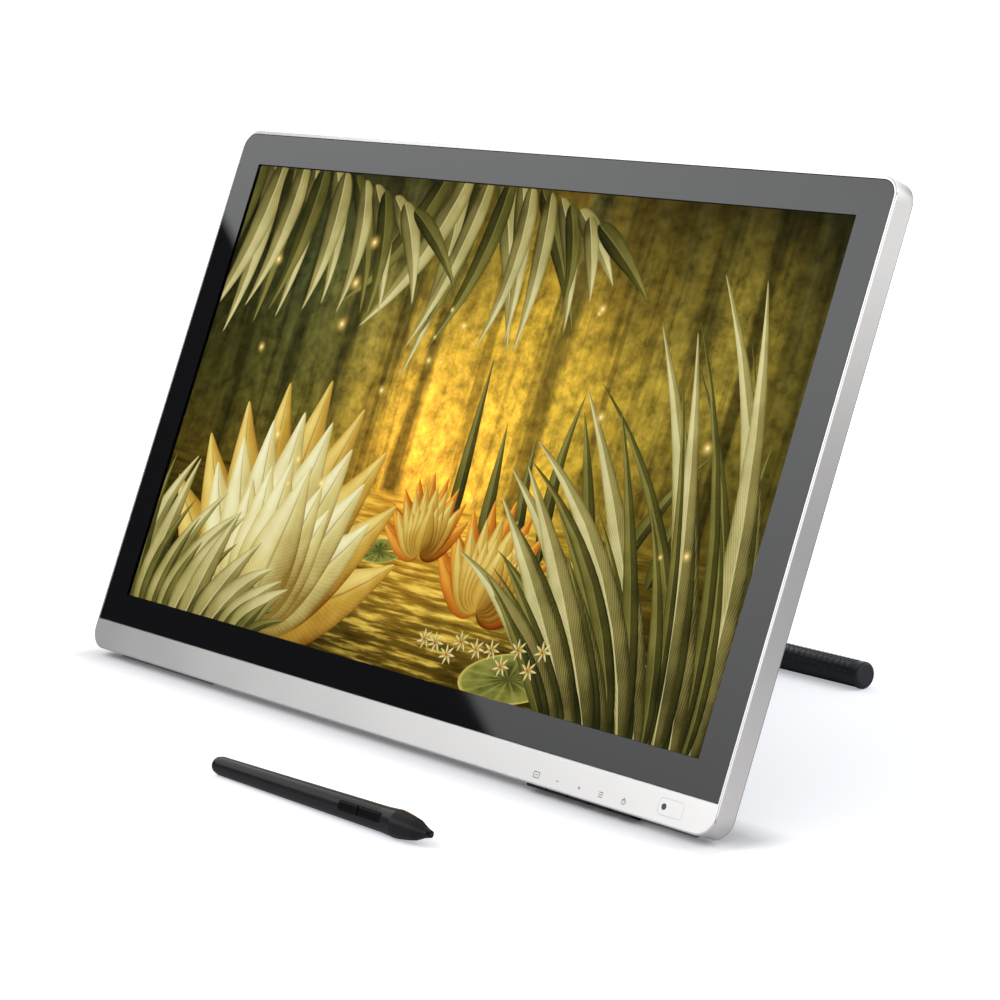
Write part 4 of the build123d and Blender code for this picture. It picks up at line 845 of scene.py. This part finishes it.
# marks above the keys
markSizes = {
    "rise": -163.5, "height": 2.9, "stroke": 0.45, "proud": 0.03, "round": 0.12,
    "input": 137.2, "minus": 152.5, "plus": 168.1, "menu": 183.5, "power": 199.4,
}


def markBar(across, along, width, height):
    clearSelection()
    bpy.ops.mesh.primitive_cube_add(size=1)
    bar = justAdded("bar")
    bar.scale = (width * mm, height * mm, 2 * markSizes["proud"] * mm)
    bar.location = (across * mm, along * mm, 0)
    place(bar, Matrix.Identity(4))
    editMode(bar, "EDGE")
    pick(bar, "EDGE", lambda edge: abs(edge.verts[0].co.z - edge.verts[1].co.z) > 1e-6)
    bpy.ops.mesh.bevel(affect="EDGES", offset=markSizes["round"] * mm, segments=2)
    bpy.ops.object.mode_set(mode="OBJECT")
    return bar


def markRing(across, along, radius):
    clearSelection()
    bpy.ops.mesh.primitive_torus_add(
        major_radius=radius * mm, minor_radius=markSizes["stroke"] / 2 * mm, major_segments=40,
        minor_segments=8,
    )
    ring = justAdded("ring")
    ring.scale = (1, 1, 2 * markSizes["proud"] / markSizes["stroke"])
    ring.location = (across * mm, along * mm, 0)
    place(ring, Matrix.Identity(4))
    return ring


def makeMarks():
    stroke, height, rise = markSizes["stroke"], markSizes["height"], markSizes["rise"]
    half = height / 2
    at = markSizes["input"]
    frameBars = [
        markBar(at, rise + half, height * 1.4, stroke), markBar(at, rise - half, height * 1.4, stroke),
        markBar(at - height * 0.7, rise, stroke, height), markBar(at + height * 0.7, rise, stroke, height),
        markBar(at, rise, height * 0.6, stroke),
    ]
    at = markSizes["plus"]
    plusBars = [markBar(at, rise, height * 0.7, stroke), markBar(at, rise, stroke, height * 0.7)]
    menuBars = [markBar(markSizes["menu"], rise + step * half * 0.8, height, stroke) for step in (-1, 0, 1)]
    power = [
        markRing(markSizes["power"], rise, half * 0.85),
        markBar(markSizes["power"], rise + half * 0.75, stroke, height * 0.6),
    ]
    for name, parts in (
        ("inputMark", frameBars), ("minusMark", [markBar(markSizes["minus"], rise, height * 0.7, stroke)]),
        ("plusMark", plusBars), ("menuMark", menuBars), ("powerMark", power),
    ):
        mark = joinPieces(name, parts)
        place(mark, faceMatrix)
        settle(mark, materials["markGrey"])


materials["markGrey"] = surfaceFinish(
    "markGrey", {"color": (0.16, 0.16, 0.165), "rough": (0.5, 0.6), "fine": 4000.0}
)
makeMarks()
print("marks made")


# sleeves of the foot bar: rows of short slanted ribs on a smooth core
sleeveSizes = {
    "coreRadius": 7.55, "outerRadius": 7.94, "innerEnd": 26.05, "endBand": 3.0, "coreRound": 0.3,
    "round": 0.34, "ribHeight": 1.2,
    "rows": [  # angle from the top, then length round the bar, width along it, pitch and slant
        {"angle": 43.0, "length": 4.6, "width": 3.0, "pitch": 4.4, "slant": 24.0},
        {"angle": 7.0, "length": 2.6, "width": 1.7, "pitch": 3.3, "slant": -32.0},
        {"angle": 74.0, "length": 0.9, "width": 3.0, "pitch": 5.0, "slant": 0.0},
    ],
}


def makeSleeves():
    sizes = sleeveSizes
    low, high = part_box("foot_tube")
    centreY, centreZ = (low.y + high.y) / 2, (low.z + high.z) / 2
    low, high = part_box("foot_sleeves")
    inner = sizes["innerEnd"] * mm
    parts = []
    for way in (-1, 1):
        clearSelection()
        bpy.ops.mesh.primitive_cylinder_add(
            vertices=72, radius=sizes["coreRadius"] * mm, depth=high.x - inner,
            location=(way * (high.x + inner) / 2, centreY, centreZ), rotation=(0, math.pi / 2, 0),
        )
        core = justAdded("sleeveCore")
        place(core, Matrix.Identity(4))
        editMode(core, "EDGE")
        pick(core, "EDGE", lambda edge: abs(edge.verts[0].co.x - edge.verts[1].co.x) < 1e-6)
        bpy.ops.mesh.bevel(affect="EDGES", offset=sizes["coreRound"] * mm, segments=2)
        bpy.ops.object.mode_set(mode="OBJECT")
        parts.append(core)
    for row in sizes["rows"]:
        clearSelection()
        bpy.ops.mesh.primitive_cube_add(size=1)
        rib = justAdded("rib")
        rib.scale = (row["width"] * mm, row["length"] * mm, sizes["ribHeight"] * mm)
        place(rib, Matrix.Identity(4))
        editMode(rib, "EDGE")
        pick(rib, "EDGE", lambda edge: edge.verts[0].co.z > 0 or edge.verts[1].co.z > 0)
        bpy.ops.mesh.bevel(affect="EDGES", offset=sizes["round"] * mm, segments=2)
        bpy.ops.mesh.select_all(action="SELECT")
        bpy.ops.mesh.subdivide(number_cuts=2)
        bpy.ops.object.mode_set(mode="OBJECT")
        rib.data.transform(Matrix.Rotation(math.radians(row["slant"]), 4, "Z"))
        for point in rib.data.vertices:  # the block follows the curve of the bar
            turn = point.co.y / (sizes["outerRadius"] * mm)
            radius = (sizes["outerRadius"] - sizes["ribHeight"] / 2) * mm + point.co.z
            point.co.y, point.co.z = radius * math.sin(turn), radius * math.cos(turn)
        count = int((high.x - inner - 2 * sizes["endBand"] * mm) / (row["pitch"] * mm))
        for way in (-1, 1):
            for side in (-1, 1):
                for number in range(count):
                    copy = bpy.data.objects.new("rib", rib.data.copy())
                    bpy.context.scene.collection.objects.link(copy)
                    along = high.x - (sizes["endBand"] + (number + 0.5) * row["pitch"]) * mm
                    copy.data.transform(
                        Matrix.Translation((way * along, centreY, centreZ))
                        @ Matrix.Rotation(math.radians(side * row["angle"]), 4, "X")
                    )
                    parts.append(copy)
        bpy.data.objects.remove(rib)
    sleeves = joinPieces("footSleeves", parts)
    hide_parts("foot_sleeves")
    settle(sleeves, materials["sleeveRubber"], "stand_leg", smooth=38)


makeSleeves()
print("foot sleeves made")


# studio: floor, world and lamps
studio = {
    "edgeStart": (-259.3, 100.6), "edgeEnd": (96.7, -151.0), "litPoint": (200.0, 100.0),
    "cardRise": (0.20, 0.42), "cardLow": 1.1, "cardHigh": 2.9, "roofRise": (0.46, 0.66), "roofShare": 0.30,
    "backSide": (-0.80, -0.92), "backRise": (0.28, 0.42), "backDim": -0.75, "shade": 0.03, "fill": 0.80,
    # the three keys for the strip under the chin paint a shadow on the floor there, with less lift
    "floorReach": (0.42, 1.1), "floorLift": 0.40, "floorFar": 0.80, "chinShadowDepth": (0.036, 0.016),
    "chinShadowSide": (0.285, 0.262), "chinShadowLift": 0.06,
    "floorReflectionCards": [  # painted reflection: grey cards on the floor that only metal sees, beside the tablet
        (0.10, (0.62, 0.61, 0.63)), (0.26, (0.36, 0.35, 0.36)), (0.46, (0.40, 0.39, 0.39)),
        (0.72, (0.95, 0.95, 0.93)),
    ],
}


def mirrored(point):  # where the camera's line of sight goes after the glass
    sight = (onFace(*point) - cameraPlace).normalized()
    return sight - 2 * sight.dot(outward) * outward


def makeWorld():
    start, end = mirrored(studio["edgeStart"]), mirrored(studio["edgeEnd"])
    across = start.cross(end).normalized()
    if mirrored(studio["litPoint"]).dot(across) < 0:
        across = -across
    world = bpy.data.worlds.new("studio")
    world.use_nodes = True
    bpy.context.scene.world = world
    tree = world.node_tree
    tree.nodes.clear()
    way = addNode(tree, "ShaderNodeTexCoord").outputs["Generated"]
    side, front = [
        addNode(tree, "ShaderNodeVectorMath", {0: way, 1: axis}, operation="DOT_PRODUCT").outputs["Value"]
        for axis in (across, (0.0, -1.0, 0.0))
    ]
    height = addNode(tree, "ShaderNodeSeparateXYZ", {"Vector": way}).outputs[2]
    card = spread(tree, height, *studio["cardRise"], studio["cardLow"], studio["cardHigh"])
    card = sums(
        tree, "MULTIPLY", card, spread(tree, height, *studio["roofRise"], 1.0, studio["roofShare"])
    )
    back = spread(tree, front, *studio["backSide"])
    back = sums(tree, "MULTIPLY", back, spread(tree, height, *studio["backRise"]))
    card = sums(tree, "MULTIPLY", card, sums(tree, "MULTIPLY_ADD", back, studio["backDim"], 1.0))
    shaded = sums(tree, "MULTIPLY", spread(tree, side, 0.002, -0.002), spread(tree, front, 0.0, 0.25))
    gloss = addNode(
        tree, "ShaderNodeMix", {0: shaded, 2: card, 3: studio["shade"]}, data_type="FLOAT"
    ).outputs[0]
    path = addNode(tree, "ShaderNodeLightPath")
    glossy = addNode(tree, "ShaderNodeBackground", {"Color": (0.98, 0.99, 1.0, 1), "Strength": gloss})
    soft = addNode(
        tree, "ShaderNodeBackground", {"Color": (0.97, 0.98, 1.0, 1), "Strength": studio["fill"]}
    )
    white = addNode(tree, "ShaderNodeBackground", {"Color": (1, 1, 1, 1), "Strength": 1.0})
    first = addNode(tree, "ShaderNodeMixShader", {0: path.outputs["Is Glossy Ray"]})
    tree.links.new(soft.outputs[0], first.inputs[1])
    tree.links.new(glossy.outputs[0], first.inputs[2])
    seen = sums(tree, "MAXIMUM", path.outputs["Is Camera Ray"], path.outputs["Is Transmission Ray"])
    second = addNode(tree, "ShaderNodeMixShader", {0: seen})
    tree.links.new(first.outputs[0], second.inputs[1])
    tree.links.new(white.outputs[0], second.inputs[2])
    target = addNode(tree, "ShaderNodeOutputWorld")
    tree.links.new(second.outputs[0], target.inputs["Surface"])


def makeFloor():
    clearSelection()
    bpy.ops.mesh.primitive_plane_add(size=400)
    floor = justAdded("floor")
    material, tree, shader = newMaterial("paleFloor")
    shader.inputs["Roughness"].default_value = 0.9
    shader.inputs["Specular IOR Level"].default_value = 0.0
    path = addNode(tree, "ShaderNodeLightPath")
    spot = addNode(tree, "ShaderNodeTexCoord").outputs["Object"]
    reach = addNode(tree, "ShaderNodeVectorMath", {0: spot, 1: (0.75, 0.66, 0.0)}, operation="DOT_PRODUCT")
    card = colorRamp(tree, sums(tree, "MULTIPLY", reach.outputs["Value"], 0.4), studio["floorReflectionCards"])
    # painted reflection: glossy rays see the grey cards instead of the floor's own colour
    tree.links.new(
        blendColor(tree, path.outputs["Is Glossy Ray"], (0.87, 0.87, 0.88), card), shader.inputs["Base Color"]
    )
    far = addNode(tree, "ShaderNodeVectorMath", {0: spot}, operation="LENGTH").outputs["Value"]
    strength = spread(tree, far, *studio["floorReach"], studio["floorLift"], studio["floorFar"])
    # painted shadow: less lift in a strip of floor under the chin darkens the contact shadow there
    axes = addNode(tree, "ShaderNodeSeparateXYZ", {"Vector": spot})
    fromEdge = sums(tree, "ABSOLUTE", sums(tree, "SUBTRACT", axes.outputs[1], contact.y))
    aside = sums(tree, "ABSOLUTE", axes.outputs[0])
    fromEdge, aside = spread(tree, fromEdge, *studio["chinShadowDepth"]), spread(tree, aside, *studio["chinShadowSide"])
    paintedChinShadow = sums(tree, "MULTIPLY", fromEdge, aside)
    paintedChinShadow = spread(tree, paintedChinShadow, 0.0, 1.0, 1.0, studio["chinShadowLift"])
    strength = sums(tree, "MULTIPLY", strength, paintedChinShadow)
    strength = sums(tree, "MULTIPLY", path.outputs["Is Camera Ray"], strength)
    lift = addNode(tree, "ShaderNodeEmission", {"Color": (0.92, 0.95, 1, 1), "Strength": strength})
    both = addNode(tree, "ShaderNodeAddShader")
    tree.links.new(shader.outputs[0], both.inputs[0])
    tree.links.new(lift.outputs[0], both.inputs[1])
    tree.links.new(both.outputs[0], tree.nodes["Material Output"].inputs["Surface"])
    floor.data.materials.append(material)


lamps = {
    "keyLamp": {"place": (-0.9, -1.5, 1.9), "size": 1.4, "power": 22.0},
    "rearLamp": {"place": (1.4, 1.3, 1.7), "size": 1.2, "power": 12.0},
}


def makeLamps():
    for name, sizes in lamps.items():
        lamp = bpy.data.objects.new(name, bpy.data.lights.new(name, "AREA"))
        lamp.data.size = sizes["size"]
        lamp.data.energy = sizes["power"]
        lamp.location = sizes["place"]
        lamp.rotation_euler = (Vector((0, 0, 0.12)) - lamp.location).to_track_quat("-Z", "Y").to_euler()
        lamp.visible_glossy = False
        bpy.context.scene.collection.objects.link(lamp)


makeWorld()
makeFloor()
makeLamps()
print("studio made")
